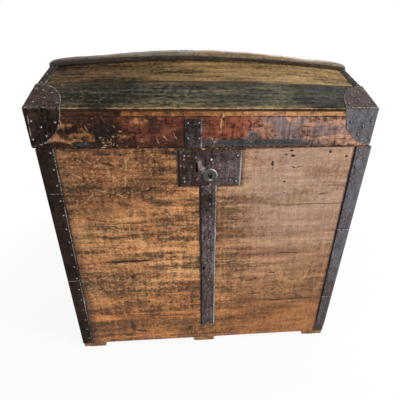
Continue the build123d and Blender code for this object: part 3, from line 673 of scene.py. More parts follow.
    # Painted shadow left of the lock plate; a darkened strip with crumbs of bare wood above it.
    beside_plate = (x + mottle * 0.6 * mm).between(plate_low.x - 5 * mm, plate_low.x - 1.5 * mm)
    beside_plate = beside_plate * x.between(0, -5 * mm)
    beside_plate = beside_plate * z.between(plate_low.z - 4 * mm, plate_low.z)
    above_plate = (z + mottle * mm).between(plate_high.z - 2 * mm, plate_high.z + 0.5 * mm)
    above_plate = above_plate * abs(x).between(86 * mm, 78 * mm)
    colour = recipe.mix(colour, paints.dirt_and_shade, beside_plate.at_least(above_plate) * 0.85)
    crumbs = (speckle * 0.8 + mottle * 0.5 - 0.55).clamped() * above_plate
    colour = recipe.mix(colour, paints.fleck, crumbs)
    # Painted shadow under the lid along the front's top edge.
    top = z.between(body_high.z - 1.5 * mm, body_high.z - 0.3 * mm)
    colour = recipe.mix(colour, paints.umber, top * 0.8)

    height = streak * 0.25 + mottle * 0.45 + chatter * 0.2 - hole * 2.5 - scratch * 0.8 - pits
    roughness = 0.5 + mottle * 0.04 + stain * 0.15
    return recipe.surface(colour, roughness.clamped(), height, 0.22 * mm, Specular_IOR_Level=0.25)


def iron_edge(recipe):
    """How far a place on the front lies outside the corner irons' inner edge, left or right."""
    slope = (iron_top_width - iron_foot_width) / (body_high.z - body_low.z)
    start = half_width + sheet - iron_foot_width + slope * body_low.z
    return abs(recipe.x) + recipe.z * slope - start


def strap_across(recipe):
    """How far to the right of the leaning strap's middle a place is."""
    low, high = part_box("centre_strap")
    return recipe.x + (recipe.z - (low.z + high.z) / 2) * (strap_lean / (high.z - low.z))


def wall_pine(name, axis, seed):
    """Varnished pine of the back and the ends, plainer than the front."""
    paints = colours()
    recipe = Recipe(name)
    shift = recipe.vector("ADD", recipe.place, (seed, seed * 0.7, 0.0))
    streak, chatter, mottle, patch = grain(recipe, axis, shift)
    colour = recipe.mix(paints.honey, paints.gold, (patch * 0.3 + 0.5).clamped())
    low = (recipe.z + patch * 10 * mm).between(150 * mm, 30 * mm)
    cloud = recipe.noise((5.0, 5.0, 6.0), 3.0, 0.6, shift)
    colour = recipe.mix(colour, paints.umber, (cloud * 0.25 + low * 0.3 + 0.12).clamped())
    tone = streak * 0.62 + mottle * 0.62 + patch * 0.5 + chatter * 0.3
    colour = recipe.shaded(colour, (1.0 + tone * 0.8).at_least(0.22))
    glow = (patch * -0.6 - streak * 0.4 + mottle * 0.2 - 0.1).clamped()
    colour = recipe.mix(colour, paints.amber, glow * 0.35)
    speckle = recipe.noise((210.0, 210.0, 240.0), 2.0, 0.6, shift)
    flecks = (speckle * 0.8 + mottle * 0.5 - 0.95).clamped()
    colour = recipe.mix(colour, paints.bare, flecks * 0.6)
    pits = (0.0 - speckle * 0.7 - mottle * 0.6 - 1.35).clamped()
    colour = recipe.mix(colour, paints.dirt_and_shade, pits * 0.8)
    stain = (0.0 - cloud * 0.5 + streak * 0.3 + mottle * 0.2 - 0.9).clamped()
    colour = recipe.mix(colour, paints.dirt_and_shade, stain * 0.6)
    reach = half_width if axis == 1 else back_face
    across = abs(recipe.x) if axis == 1 else recipe.y
    inside = across.between(reach - 3 * mm, reach - 6 * mm)
    colour = recipe.mix(colour, inner_pine(recipe, tone, patch), inside)
    height = streak * 0.25 + mottle * 0.45 + chatter * 0.2 - pits
    return recipe.surface(colour, 0.52 + mottle * 0.04, height, 0.22 * mm, Specular_IOR_Level=0.25)


def bare_pine(name, axis):
    """Rough unfinished pine of the runners and the bottom."""
    paints = colours()
    recipe = Recipe(name)
    streak, chatter, mottle, patch = grain(recipe, axis)
    colour = recipe.mix(paints.bare, paints.gold, (patch * 0.2 + 0.6).clamped())
    colour = recipe.mix(colour, paints.umber, (patch * 0.2 + chatter * 0.15 + 0.2).clamped())
    tone = streak * 0.6 + mottle * 0.6 + chatter * 0.3
    colour = recipe.shaded(colour, (0.85 + tone * 0.2).at_least(0.2))
    height = streak * 0.4 + mottle * 0.4 + chatter * 0.2
    return recipe.surface(colour, 0.72 + mottle * 0.03, height, 0.4 * mm, Specular_IOR_Level=0.2)


def red_lid(name, marked):
    """The lid's red stained boards, with a rubbed band under the stave and a painted foot; the front has
    painted shade at its left end, low on the left and under the stave, and a painted sheen on the band.
    """
    paints = colours()
    recipe = Recipe(name)
    x, y, z = recipe.x, recipe.y, recipe.z
    place = recipe.shaken((90.0, 90.0, 90.0), 8 * mm)
    cloudy = recipe.shaken((32.0, 32.0, 45.0), 52 * mm)
    streak, chatter, mottle, patch = grain(recipe, 0)
    speckle = recipe.noise((200.0, 200.0, 230.0), 2.0, 0.6)
    foot = (z + mottle * mm).between(660.5 * mm, 657.5 * mm)
    scuff = 0.0
    if marked:
        brown = (x + patch * 8 * mm).between(60 * mm, 150 * mm)
        # Painted shade: the lid's front is darkest at its left end and lit in two steps towards the
        # right.
        lit = (x + patch * 7 * mm).between(-210 * mm, -175 * mm) * 0.42
        lit = lit + (x + patch * 8 * mm).between(-40 * mm, 80 * mm) * 0.58
        colour = recipe.mix(paints.mahogany, paints.red, lit)
        colour = recipe.mix(colour, paints.rust_wood, (brown * 0.9 + patch * 0.1 * brown).clamped())
        warm = marks(recipe, cloudy, (
            (-318, 661, 130, 30, 0), (-268, 674, 44, 34, 20), (-320, 690, 60, 20, 0),
            (-160, 697, 60, 18, -10), (-190, 668, 36, 16, 0),
        ))
        warm = (warm * 1.6 + mottle * 0.12).clamped() * warm.between(0.0, 0.2)
        colour = recipe.mix(colour, paints.honey, warm * 0.85)
        patches = marks(recipe, cloudy, (
            (-225, 680, 80, 60, 0), (-220, 655, 90, 30, 0), (-62, 670, 34, 70, 0),
            (-100, 652, 120, 18, 0), (-190, 650, 150, 16, 0), (-125, 688, 50, 26, 10),
            (94, 662, 20, 26, 0),
        ))
        scuffs = marks(recipe, cloudy, (
            (150, 694, 90, 40, -30), (172, 668, 70, 50, 0), (196, 690, 34, 60, 0),
            (196, 664, 40, 40, 0), (92, 662, 44, 34, 0), (250, 676, 100, 26, 0),
            (290, 686, 60, 20, 0),
        ))
        scuff = (scuffs * 2.0 + mottle * 0.2 + streak * 0.15).clamped() * scuffs.between(0.0, 0.2)
        chips = marks(recipe, place, (
            (26, 712, 9, 10, 0), (-318, 712, 22, 4, 0), (-236, 642, 14, 4, 0),
            (-196, 678, 12, 3, -8), (-240, 664, 5, 4, 0), (-212, 666, 6, 4, 0),
        ))
        more = strokes(recipe, place, (
            (-106, 672, -94, 656, 2.4), (-84, 676, -74, 660, 2.0), (-120, 664, -114, 650, 2.0),
            (-268, 692, -262, 680, 1.8), (-318, 704, -314, 686, 2.0), (24, 704, 22, 676, 2.6),
        ))
        chips = chips.at_least(more)
        curly = marks(recipe, cloudy, (
            (-322, 661, 96, 14, 0), (287, 660, 90, 14, 0), (0, 660, 26, 15, 0),
            (-226, 656, 44, 18, 0), (-180, 666, 30, 22, 0), (-150, 662, 22, 22, 0),
            (92, 658, 36, 24, 0), (26, 696, 12, 40, 0),
        ))
        swirl = recipe.noise((120.0, 120.0, 150.0), 1.0, 0.5)
        curls = abs(swirl).between(0.34, 0.12) * (curly * 2.2 + speckle * 0.5 - 0.3).clamped()
        chips = chips.at_least(curls * 0.4)
        run = (x + mottle * 3 * mm).between(-26 * mm, -14 * mm) * (x + z * 5.0).between(3.56, 3.44)
        left = marks(recipe, place, (
            (-278, 650, 40, 11, 0), (-48, 650, 30, 26, 0), (94, 664, 24, 30, 0),
        ))
        left = (left * 2.2 + mottle * 0.15).clamped() * left.between(0.0, 0.2) * 0.85
        band = (foot * run).at_least(left)
        stain = (patches + mottle * 0.16 + streak * 0.12).between(0.05, 0.55)
        chip = (chips * 2.4 + mottle * 0.4).clamped() * chips.between(0.0, 0.15)
        bright = (x + patch * 10 * mm).between(-205 * mm, -180 * mm)
        bright = bright * (0.75 + mottle * 0.25).clamped()
        bright = bright.at_least((x + mottle * 8 * mm).between(-310 * mm, -335 * mm) * 0.4)
        # Painted shadow low on the left, added into the stain mask.
        shadow = (z + mottle * 1.5 * mm).between(661 * mm, 650 * mm) * x.between(-30 * mm, -60 * mm)
        stain = stain.at_least(shadow * x.between(-330 * mm, -260 * mm) * 0.8)
    else:
        colour = recipe.mix(paints.red, paints.rust_wood, (patch * 0.35 + 0.3).clamped())
        stain = (patch * 0.5 + streak * 0.3 - 0.5).clamped()
        chip = (speckle * 0.6 + mottle * 0.5 - 1.6).clamped()
        band = foot * 0.8
        bright = 0.6
    tone = streak * 0.55 + mottle * 0.65 + patch * 0.4 + chatter * 0.3
    colour = recipe.mix(colour, paints.umber, (patch * 0.16).clamped())
    upright = recipe.noise((190.0, 190.0, 16.0), 3.0, 0.65)
    scuffed = recipe.shaded(paints.scuffed, (1.0 + upright * 0.5).at_least(0.1))
    colour = recipe.mix(colour, scuffed, scuff * 0.8)
    colour = recipe.shaded(colour, (1.0 + tone * (0.95 - scuff * 0.5)).at_least(0.2))
    hairline = (upright * 0.9 + speckle * 0.3 - 1.1).clamped()
    colour = recipe.mix(colour, paints.rust_wood, hairline * 0.6)
    colour = recipe.mix(colour, paints.dirt_and_shade, stain * 0.74)
    up = z - bevel_foot
    groove = (abs(up) + mottle * 0.5 * mm).between(2.2 * mm, 0.6 * mm)
    rubbed = (up + mottle * 0.8 * mm).between(-0.5 * mm, 2.5 * mm)
    # Painted sheen: the rubbed band grows lighter towards the right.
    sheen = x.between(-170 * mm, 260 * mm)
    light = recipe.mix(paints.gold, paints.fleck, sheen * 0.5)
    light = recipe.shaded(light, (0.6 + sheen * 0.48 + tone * 0.45).at_least(0.15))
    lowest = up.between(3 * mm, 1 * mm) * (mottle * 0.4 + 0.4).clamped()
    bared = (speckle * 0.5 + mottle * 0.5 - 0.6).clamped().at_least(lowest)
    light = recipe.mix(light, paints.bare, bared * 0.5)
    colour = recipe.mix(colour, light, rubbed * bright)
    colour = recipe.mix(colour, paints.dirt_and_shade, groove * 0.7)
    # Painted shadow under the stave's overhanging edge.
    under = (z + mottle * 0.5 * mm).between(720 * mm, 722.5 * mm)
    colour = recipe.mix(colour, paints.dirt_and_shade, under * 0.88)
    paint = recipe.shaded(paints.band, (1.0 + tone * 0.25).at_least(0.3))
    colour = recipe.mix(colour, paint, (band + mottle * 0.15 * band).clamped() * 0.94)
    torn = (z + mottle * mm).between(644 * mm, 642.5 * mm)
    broken = recipe.noise((60.0, 60.0, 20.0), 2.0) * 0.6 - 0.15
    broken = (broken + x.between(-80 * mm, 20 * mm) * 0.5).clamped()
    splinters = recipe.shaded(paints.honey, (1.1 + tone * 0.5).at_least(0.1))
    colour = recipe.mix(colour, paints.dirt_and_shade, torn * 0.8)
    colour = recipe.mix(colour, splinters, torn * broken)
    flecks = (speckle * 0.7 + mottle * 0.6 - 1.05).clamped()
    colour = recipe.mix(colour, paints.fleck, flecks.at_least(chip) * 0.6)
    colour = recipe.mix(colour, paints.bare, chip * 0.5)
    pits = (0.0 - speckle * 0.7 - mottle * 0.6 - 1.2).clamped()
    colour = recipe.mix(colour, paints.dirt_and_shade, pits * 0.85)
    inside = y.between(front_face + 4 * mm, front_face + 8 * mm)
    if not marked:
        inside = y.between(back_face - 4 * mm, back_face - 8 * mm)
    colour = recipe.mix(colour, unpainted(recipe, tone), inside)
    height = streak * 0.25 + mottle * 0.5 - chip * 1.5 + band * 0.6
    height = height - groove * 2 - under * 1.5 - pits
    return recipe.surface(colour, 0.45 + mottle * 0.04, height, 0.25 * mm, Specular_IOR_Level=0.1)


def lid_end_pine(name):
    """The lid's two end boards."""
    paints = colours()
    recipe = Recipe(name)
    streak, chatter, mottle, patch = grain(recipe, 1)
    colour = recipe.mix(paints.red, paints.honey, (patch * 0.3 + 0.4).clamped())
    colour = recipe.mix(colour, paints.umber, (patch * 0.2 + 0.2).clamped())
    tone = streak * 0.5 + mottle * 0.6 + chatter * 0.3 + patch * 0.3
    colour = recipe.shaded(colour, (1.0 + tone * 0.32).at_least(0.2))
    speckle = recipe.noise((200.0, 200.0, 230.0), 2.0, 0.6)
    colour = recipe.mix(colour, paints.bare, (speckle * 0.7 + mottle * 0.6 - 1.4).clamped() * 0.8)
    inside = abs(recipe.x - lid_middle).between(half_width - 4 * mm, half_width - 8 * mm)
    colour = recipe.mix(colour, unpainted(recipe, tone), inside)
    height = streak * 0.3 + mottle * 0.5
    return recipe.surface(colour, 0.48 + mottle * 0.04, height, 0.3 * mm, Specular_IOR_Level=0.25)


def stave_paint(name):
    """Green black paint of the staves, rubbed to bare wood along the front arris, with painted light
    along their length and painted shade under the front edge.
    """
    paints = colours()
    recipe = Recipe(name)
    x, across = recipe.x, abs(recipe.y)
    streak, _, mottle, patch = grain(recipe, 0)
    green = recipe.noise((9.0, 40.0, 40.0), 3.0, 0.6)
    colour = recipe.mix(paints.stave, paints.ochre, (patch * 0.14 + 0.04).clamped())
    cool = (green * 0.35).clamped().at_least(x.between(190 * mm, 260 * mm) * 0.6)
    colour = recipe.mix(colour, paints.band, cool * 0.7)
    tone = streak * 0.75 + mottle * 0.6 + patch * 0.5
    # Painted light: lit makes the stave lighter and darker along its length; it also darkens towards the
    # rear edge.
    lit = x.between(-190 * mm, -90 * mm) * 1.1 - x.between(-60 * mm, 10 * mm) * 0.45
    lit = lit + x.between(60 * mm, 110 * mm) * 0.3 - x.between(165 * mm, 215 * mm) * 0.9
    rear = across.between(-stave_edge + 36 * mm, -stave_edge + 6 * mm)
    colour = recipe.shaded(colour, (lit + 0.52) * (1 - rear * 0.4))
    swing = 1.4 - x.between(-120 * mm, -20 * mm) * 0.4 + x.between(150 * mm, 230 * mm) * 0.3
    colour = recipe.shaded(colour, (1.0 + tone * swing).at_least(0.12))
    black = (0.0 - green * 0.4 + streak * 0.25 - 0.25).clamped()
    colour = recipe.mix(colour, paints.dirt_and_shade, black * 0.7)
    speckle = recipe.noise((170.0, 210.0, 210.0), 2.0, 0.6)
    scuff = (speckle * 0.7 + mottle * 0.6 - 1.0 + x.between(-140 * mm, -300 * mm) * 0.3).clamped()
    colour = recipe.mix(colour, paints.bare, scuff * 0.5)
    swirl = recipe.noise((45.0, 45.0, 45.0), 2.0, 0.5, None, 2.5)
    lines_in_dust = abs(swirl).between(0.10, 0.02) * (green * 0.5 + mottle * 0.3 - 0.15).clamped()
    colour = recipe.mix(colour, paints.bare, lines_in_dust * 0.5)
    outside = -front_face
    arris = (across + mottle * 0.7 * mm).between(outside - 3.2 * mm, outside - 1.6 * mm)
    worn = recipe.shaded(paints.ochre, (1.3 + tone * 0.35).at_least(0.3))
    worn = recipe.mix(worn, paints.fleck, (mottle * 0.4 + speckle * 0.4 + 0.1).clamped() * 0.8)
    left = x.between(-180 * mm, -215 * mm) * x.between(-280 * mm, -250 * mm)
    gaps = (recipe.noise((30.0, 30.0, 30.0), 3.0, 0.7) * 0.35 - 0.1).clamped()
    colour = recipe.mix(colour, worn, (arris * (1.0 - left * 0.7 - gaps)).clamped())
    colour = bared_below(recipe, colour, tone)
    # Painted shade on the lower part of the stave's front edge.
    under = (stave_under(recipe, across) + mottle * 0.4 * mm).between(5.9 * mm, 4.9 * mm)
    under = under * across.between(outside - 14 * mm, outside - 10 * mm)
    colour = recipe.mix(colour, paints.dirt_and_shade, under * 0.92)
    foot = across.between(-stave_edge + 4 * mm, -stave_edge + 0.5 * mm)
    colour = recipe.mix(colour, paints.dirt_and_shade, foot * 0.6)
    height = streak * 0.4 + mottle * 0.5 - scuff
    return recipe.surface(colour, 0.55 + mottle * 0.05, height, 0.25 * mm, Specular_IOR_Level=0.06)


def bared_below(recipe, colour, tone):
    """A colour, with bare wood on the faces that look down when the lid is shut."""
    normal = recipe.node("ShaderNodeTexCoord").outputs["Normal"]
    parts = recipe.node("ShaderNodeSeparateXYZ", None, {"Vector": normal}).outputs
    down = Value(recipe, parts["Z"]).between(-0.3, -0.6)
    return recipe.mix(colour, unpainted(recipe, tone), down)


def stave_under(recipe, across):
    """How high a place on a stave's outer edge lies above the stave's lower face."""
    return recipe.z - (stave_top_front - stave_thickness) - (-front_face - across) * stave_slope


def ochre_panel(name):
    """Weathered yellow brown panels under the ridge slat."""
    paints = colours()
    recipe = Recipe(name)
    x, across = recipe.x, abs(recipe.y)
    streak, _, mottle, patch = grain(recipe, 0)
    left = (x + patch * 22 * mm).between(30 * mm, -230 * mm)
    right = x.between(60 * mm, 330 * mm)
    colour = recipe.shaded(paints.ochre, 1.0 - left * 0.66 + right * 0.12)
    colour = recipe.mix(colour, paints.umber, left * 0.2)
    tone = streak * 0.7 + mottle * 0.6 + patch * 0.5
    colour = recipe.shaded(colour, (1.0 + tone * (0.62 + left * 0.6 + right * 0.15)).at_least(0.15))
    speckle = recipe.noise((150.0, 230.0, 230.0), 2.0, 0.6)
    light = (speckle * 0.6 + streak * 0.5 - 1.1 + left * 0.3).clamped()
    colour = recipe.mix(colour, paints.bare, light * 0.55)
    fleck = (0.0 - speckle * 0.8 + mottle * 0.3 - 1.3).clamped()
    colour = recipe.mix(colour, paints.dirt_and_shade, fleck * 0.7)
    middle = x.between(-200 * mm, -120 * mm) * x.between(140 * mm, 80 * mm)
    ragged = across + mottle * mm + middle * 4 * mm
    foot = ragged.between(-stave_edge - 8 * mm, -stave_edge - 4 * mm)
    colour = recipe.mix(colour, paints.dirt_and_shade, foot * 0.8)
    # Painted shadow below the ridge slat, broken by small dents.
    shade = (across + mottle * 1.4 * mm).between(35 * mm, 27 * mm)
    dents = abs(recipe.noise((90.0, 260.0, 260.0), 1.0, 0.5)).between(0.5, 1.1)
    colour = recipe.mix(colour, paints.dirt_and_shade, shade * (0.9 - dents * 0.55))
    colour = bared_below(recipe, colour, tone)
    height = streak * 0.4 + mottle * 0.5 - fleck - shade
    return recipe.surface(colour, 0.6 + mottle * 0.04, height, 0.3 * mm, Specular_IOR_Level=0.06)


def slat_wood(name):
    """The ridge slat: tan, greyed with a painted sheen above, and a painted shadow band along its foot.
    """
    paints = colours()
    recipe = Recipe(name)
    x, y = recipe.x, recipe.y
    streak, _, mottle, patch = grain(recipe, 0)
    bow = stave_arch + (ridge_arch - stave_arch) * (slat_low.y - stave_edge) / -stave_edge
    up = recipe.z - (slat_low.z + bow) + x * x * (bow / half_width**2) + mottle * 0.6 * mm
    left = (x + patch * 20 * mm).between(-60 * mm, -330 * mm)
    colour = recipe.shaded(recipe.mix(paints.slat, paints.umber, left * 0.6), 1.0 - left * 0.4)
    cloud = recipe.noise((7.0, 14.0, 14.0), 3.0, 0.6)
    # Grey on the slat's upper face, left of its middle: partly a painted sheen.
    bloom_and_sheen = x.between(20 * mm, -60 * mm) * 0.75
    bloom_and_sheen = (cloud * 0.45 + bloom_and_sheen + mottle * 0.15 - left * 0.5).clamped()
    colour = recipe.mix(colour, paints.bloom_and_sheen, bloom_and_sheen * up.between(11 * mm, 14 * mm) * 0.85)
    tone = streak * 0.6 + mottle * 0.6 + patch * 0.4
    colour = recipe.shaded(colour, (1.0 + tone * 0.5).at_least(0.15))
    # Painted shadow on the lower part of the slat's front face.
    raised = x.between(100 * mm, -60 * mm) * 3 * mm
    lower = (up - raised).between(9 * mm, 6 * mm) * (0.88 + mottle * 0.2 + streak * 0.2)
    colour = recipe.mix(colour, paints.dirt_and_shade, lower.clamped())
    speckle = recipe.noise((150.0, 230.0, 230.0), 2.0, 0.6)
    colour = recipe.mix(colour, paints.bare, (speckle * 0.6 + mottle * 0.5 - 1.3).clamped() * 0.7)
    joint = abs(x + 30 * mm).between(2.0 * mm, 0.6 * mm)
    tacks = marks(recipe, (x, y), (
        (-62, -6, 8, 8, 0), (-86, -4, 9, 6, 0), (-32, -12, 8, 10, 0), (58, -8, 10, 8, 0),
        (150, -6, 9, 6, 0), (236, -8, 10, 7, 0), (300, -10, 9, 7, 0), (-200, -8, 8, 6, 0),
        (-290, -10, 9, 7, 0),
    ))
    tack = (tacks * 2.5).clamped().at_least(joint * 0.8)
    colour = recipe.mix(colour, paints.dirt_and_shade, tack)
    height = streak * 0.4 + mottle * 0.5 - tack * 2
    return recipe.surface(colour, 0.45 + mottle * 0.05, height, 0.35 * mm, Specular_IOR_Level=0.3)


def sheet_iron(
    name,
    bare,
    painted,
    rust_share,
    shine,
    seed,
    edge=None,
    marked=None,
    browned=0.0,
    seams=(),
    swing=0.5,
    steady=0.3,
):
    """Sheet iron under old paint: blotches, rust, scratches and dents, with painted highlights on edges,
    folds and seams and painted shadow on far edges.
    """
    paints = colours()
    recipe = Recipe(name)
    place = recipe.vector("ADD", recipe.place, (seed, seed * 1.3, seed * 0.4))
    cloud = recipe.noise((12.0, 12.0, 12.0), 3.0, 0.6, place)
    blotch = recipe.noise((50.0, 50.0, 50.0), 4.0, 0.7, place)
    grit = recipe.noise((240.0, 240.0, 240.0), 2.0, 0.7, place)
    brushed = recipe.noise((150.0, 150.0, 18.0), 3.0, 0.6, place)
    worn = (cloud * 0.35 + blotch * 0.15 + 0.65).clamped()
    colour = recipe.mix(painted, bare, worn)
    if browned:
        brown = recipe.z.between(724 * mm, 727 * mm).at_least(recipe.z.between(330 * mm, 200 * mm))
        colour = recipe.mix(colour, paints.brown_iron, brown * browned)
    tone = blotch * 0.35 + grit * 0.6 + brushed * 0.4
    colour = recipe.shaded(colour, (1.0 + tone * swing).at_least(0.2))
    rusty = (blotch * 0.35 + grit * 0.5 - 1.35 + rust_share).clamped()
    colour = recipe.mix(colour, paints.rust, rusty * 0.8)
    rubbed = (grit * 0.5 + brushed * 0.5 - 1.5 + shine).clamped()
    if edge is not None:
        inside, far = edge(recipe)
        # Painted highlight along the near edge.
        rim = (inside + blotch * 0.3 * mm).between(2.5 * mm, 1.3 * mm)
        rubbed = rubbed.at_least((rim * (grit * 0.4 + cloud * 0.4 + steady)).clamped())
        # The far edge: a painted highlight along a lid iron's fold, painted shadow on the other irons.
        dark = (far + blotch * 0.2 * mm).between(2.6 * mm, 1.4 * mm)
        if edge is lid_rim:
            rubbed = rubbed.at_least((dark * (grit * 0.5 + cloud * 0.5 + 0.1)).clamped())
        else:
            colour = recipe.mix(colour, paints.dirt_and_shade, dark * 0.9)
    # At each seam: a dark joint line with painted shadow, and a painted highlight (glint) just below.
    for seam in seams:
        above = recipe.z - seam
        gap = above.between(-1.0 * mm, 0.0) * above.between(2.6 * mm, 1.4 * mm)
        colour = recipe.mix(colour, paints.dirt_and_shade, gap)
        glint = above.between(-3.0 * mm, -2.2 * mm) * above.between(-0.4 * mm, -1.0 * mm)
        rubbed = rubbed.at_least((glint * (0.5 + grit * 0.3 + cloud * 0.3)).clamped())
    # Bright iron where worn and scratched, and where highlights are painted.
    colour = recipe.mix(colour, paints.bright, rubbed * 0.75)
    if marked is not None:
        specks, dull, polish_and_highlight = marked(recipe, blotch, grit)
        colour = recipe.mix(colour, paints.iron, dull * 0.45)
        colour = recipe.mix(colour, paints.rust_spot, specks * 0.9)
        colour = recipe.mix(colour, paints.shine, polish_and_highlight * 0.85)
    height = cloud * 1.2 + blotch * 0.3 + grit * 0.25 - rusty * 0.5
    roughness = (0.5 + blotch * 0.04 + rusty * 0.3).clamped()
    metallic = (shine + rubbed * 0.5 - rusty * 0.5).clamped()
    finish = {"Metallic": metallic, "Specular_IOR_Level": 0.03}
    return recipe.surface(colour, roughness, height, 0.45 * mm, **finish)


def inner_edge(recipe):
    """Distance inside the left corner iron's inner edge, which gets a painted highlight, and from its
    outer fold, which gets painted shade.
    """
    return iron_edge(recipe), abs(recipe.x) * -1 + half_width + sheet + 0.6 * mm


def dark_edge(recipe):
    """Distance inside the right corner iron's inner edge, which gets a painted shadow."""
    return abs(recipe.x) + 1.0, iron_edge(recipe)


def lid_rim(recipe):
    """Distance inside the rim of a lid corner iron, and how far a place is from its fold; both get
    painted highlights.
    """
    low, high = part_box("lid_front_right_corner_iron")
    top = stave_top_front + seat_gap + sheet
    inward = abs(recipe.y) * -1 - (front_face - sheet)
    across = (abs(recipe.x - lid_middle) * -1 + half_width + sheet) / (high.x - low.x)
    down = (inward * stave_slope + top - recipe.z) / (top - low.z)
    along = inward / (stave_edge - front_face)
    share = (across * across + down * down + along * along) ** 0.5
    return (share * -1 + 1.0) * 75 * mm, abs(recipe.z - top) + 1.2 * mm


def strap_edges(recipe):
    """Distances inside the strap's right edge, which gets a painted highlight, and its left edge, which
    gets a painted shadow.
    """
    across = strap_across(recipe)
    return (20.5 * mm - across) * 0.5, (across + 20 * mm) * 0.7


def plate_marks(recipe, blotch, grit):
    """Rust spots, the dull patch and the shiny dent of the lock plate; the dent is partly a painted
    highlight.
    """
    place = recipe.shaken((260.0, 260.0, 260.0), 5 * mm)
    specks = marks(recipe, place, (
        (-68, 598, 7, 6, 0), (-60, 613, 6, 6, 0), (-60, 595, 5, 5, 0), (-61, 567, 8, 7, 0),
        (-46, 571, 5, 6, 0), (-30, 563, 7, 5, 0), (-43, 595, 5, 6, 0), (-33, 618, 6, 6, 0),
        (6, 605, 6, 5, 0), (23, 599, 7, 7, 0), (22, 590, 7, 5, 0), (42, 607, 8, 4, 0),
        (48, 592, 6, 4, -30), (52, 588, 5, 7, 0), (48, 562, 5, 6, 0), (1, 549, 8, 5, 0),
        (12, 627, 6, 6, 0), (-49, 622, 7, 5, 0),
    ))
    dull = marks(recipe, place, ((-40, 600, 70, 70, 0), (-5, 625, 90, 30, 0)))
    # The shiny dent beside the slot is partly a painted highlight.
    polish_and_highlight = marks(recipe, place, ((-23, 600, 20, 42, 15), (-17, 588, 22, 26, 0)))
    return (
        (specks * 1.6 + grit * 0.3 + blotch * 0.2).clamped() * specks.between(0.0, 0.25),
        (dull * 1.3 + blotch * 0.2).clamped(),
        (polish_and_highlight * 0.9 + grit * 0.3 + blotch * 0.3).clamped() * polish_and_highlight.between(0.0, 0.7),
    )


def corner_scratch(recipe, blotch, grit):
    """The whitish scratch down the outer side of a left corner iron of the lid."""
    ends = ((-377, 714, -379, 692, 3), (-379, 690, -381, 664, 3))
    scratch = strokes(recipe, (recipe.x, recipe.z), ends)
    return 0.0, 0.0, (scratch * 2 + grit * 0.4).clamped() * scratch.between(0.0, 0.2) * 0.8


def band_edge(recipe):
    """Distance inside the inner edge of an end band, which gets a bright rim but no painted shadow."""
    inside = abs(recipe.x - lid_middle) - (half_width + sheet - band_width)
    return inside, inside + 1.0


def band_iron():
    paints = colours()
    settings = {"rust_share": 0.3, "shine": 0.0, "seed": 0.9, "edge": band_edge}
    return kept("end band iron", sheet_iron, paints.iron, paints.dirt_and_shade, **settings)


def box_edges(node):
    """Distances inside the right edge of a plate, which gets a painted highlight, and its left edge,
    which gets a painted shadow.
    """
    low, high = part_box(node)
    return lambda recipe: ((high.x - recipe.x) * 0.55, (recipe.x - low.x) * 0.7)


def dark_iron():
    paints = colours()
    settings = {"rust_share": 0.25, "shine": 0.0, "seed": 0.0}
    return kept("dark iron", sheet_iron, paints.iron, paints.dirt_and_shade, **settings)


def iron_seams(hand):
    """Heights where two lengths of a front corner iron meet."""
    return [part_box(f"front_{hand}_corner_iron_{part}")[0].z for part in ("middle", "upper")]


def left_iron():
    paints = colours()
    settings = {"rust_share": 0.3, "shine": 0.0, "seed": 0.6, "edge": inner_edge}
    settings["seams"] = iron_seams("left")
    return kept("dark body iron", sheet_iron, paints.iron, paints.dirt_and_shade, **settings)


def lid_iron(hand):
    paints = colours()
    if hand == "left":
        settings = {"rust_share": 0.5, "shine": 0.0, "seed": 0.3, "edge": lid_rim}
        settings.update(marked=corner_scratch, browned=0.75, swing=0.9)
        return kept("dark lid iron", sheet_iron, paints.iron, paints.dirt_and_shade, **settings)
    # The right-hand lid irons are grey partly as a painted reflection.
    settings = {"rust_share": 0.1, "shine": 0.2, "seed": 1.1, "edge": lid_rim, "browned": 0.85}
    return kept("grey lid iron", sheet_iron, paints.grey_iron, paints.strap_iron, **settings)


# Painted reflection: the right-hand body irons are grey where the left ones are dark.
def grey_iron():
    paints = colours()
    settings = {"rust_share": 0.1, "shine": 0.2, "seed": 1.7, "edge": dark_edge, "browned": 0.6}
    settings["seams"] = iron_seams("right")
    return kept("grey iron", sheet_iron, paints.grey_iron, paints.strap_iron, **settings)


def strap_iron():
    paints = colours()
    bare = tuple(part * 1.2 for part in paints.strap_iron)
    settings = {"rust_share": 0.45, "shine": 0.08, "seed": 2.6, "edge": strap_edges}
    settings.update(browned=0.45, swing=0.9, steady=0.75)
    return kept("strap iron", sheet_iron, bare, paints.iron, **settings)


def plate_iron():
    paints = colours()
    settings = {"rust_share": 0.6, "shine": 0.08, "seed": 3.1, "edge": box_edges("lock_plate")}
    settings.update(marked=plate_marks, swing=0.75, steady=0.75)
    return kept("lock plate iron", sheet_iron, paints.strap_iron, paints.iron, **settings)


def hasp_iron():
    paints = colours()
    bare = [part * 0.5 for part in paints.strap_iron]
    settings = {"rust_share": 0.6, "shine": 0.05, "seed": 3.9, "edge": box_edges("hasp_plate")}
    return kept("hasp plate iron", sheet_iron, bare, paints.dirt_and_shade, swing=0.9, **settings)


def nail_iron():
    return kept("nail iron", highlighted_heads)


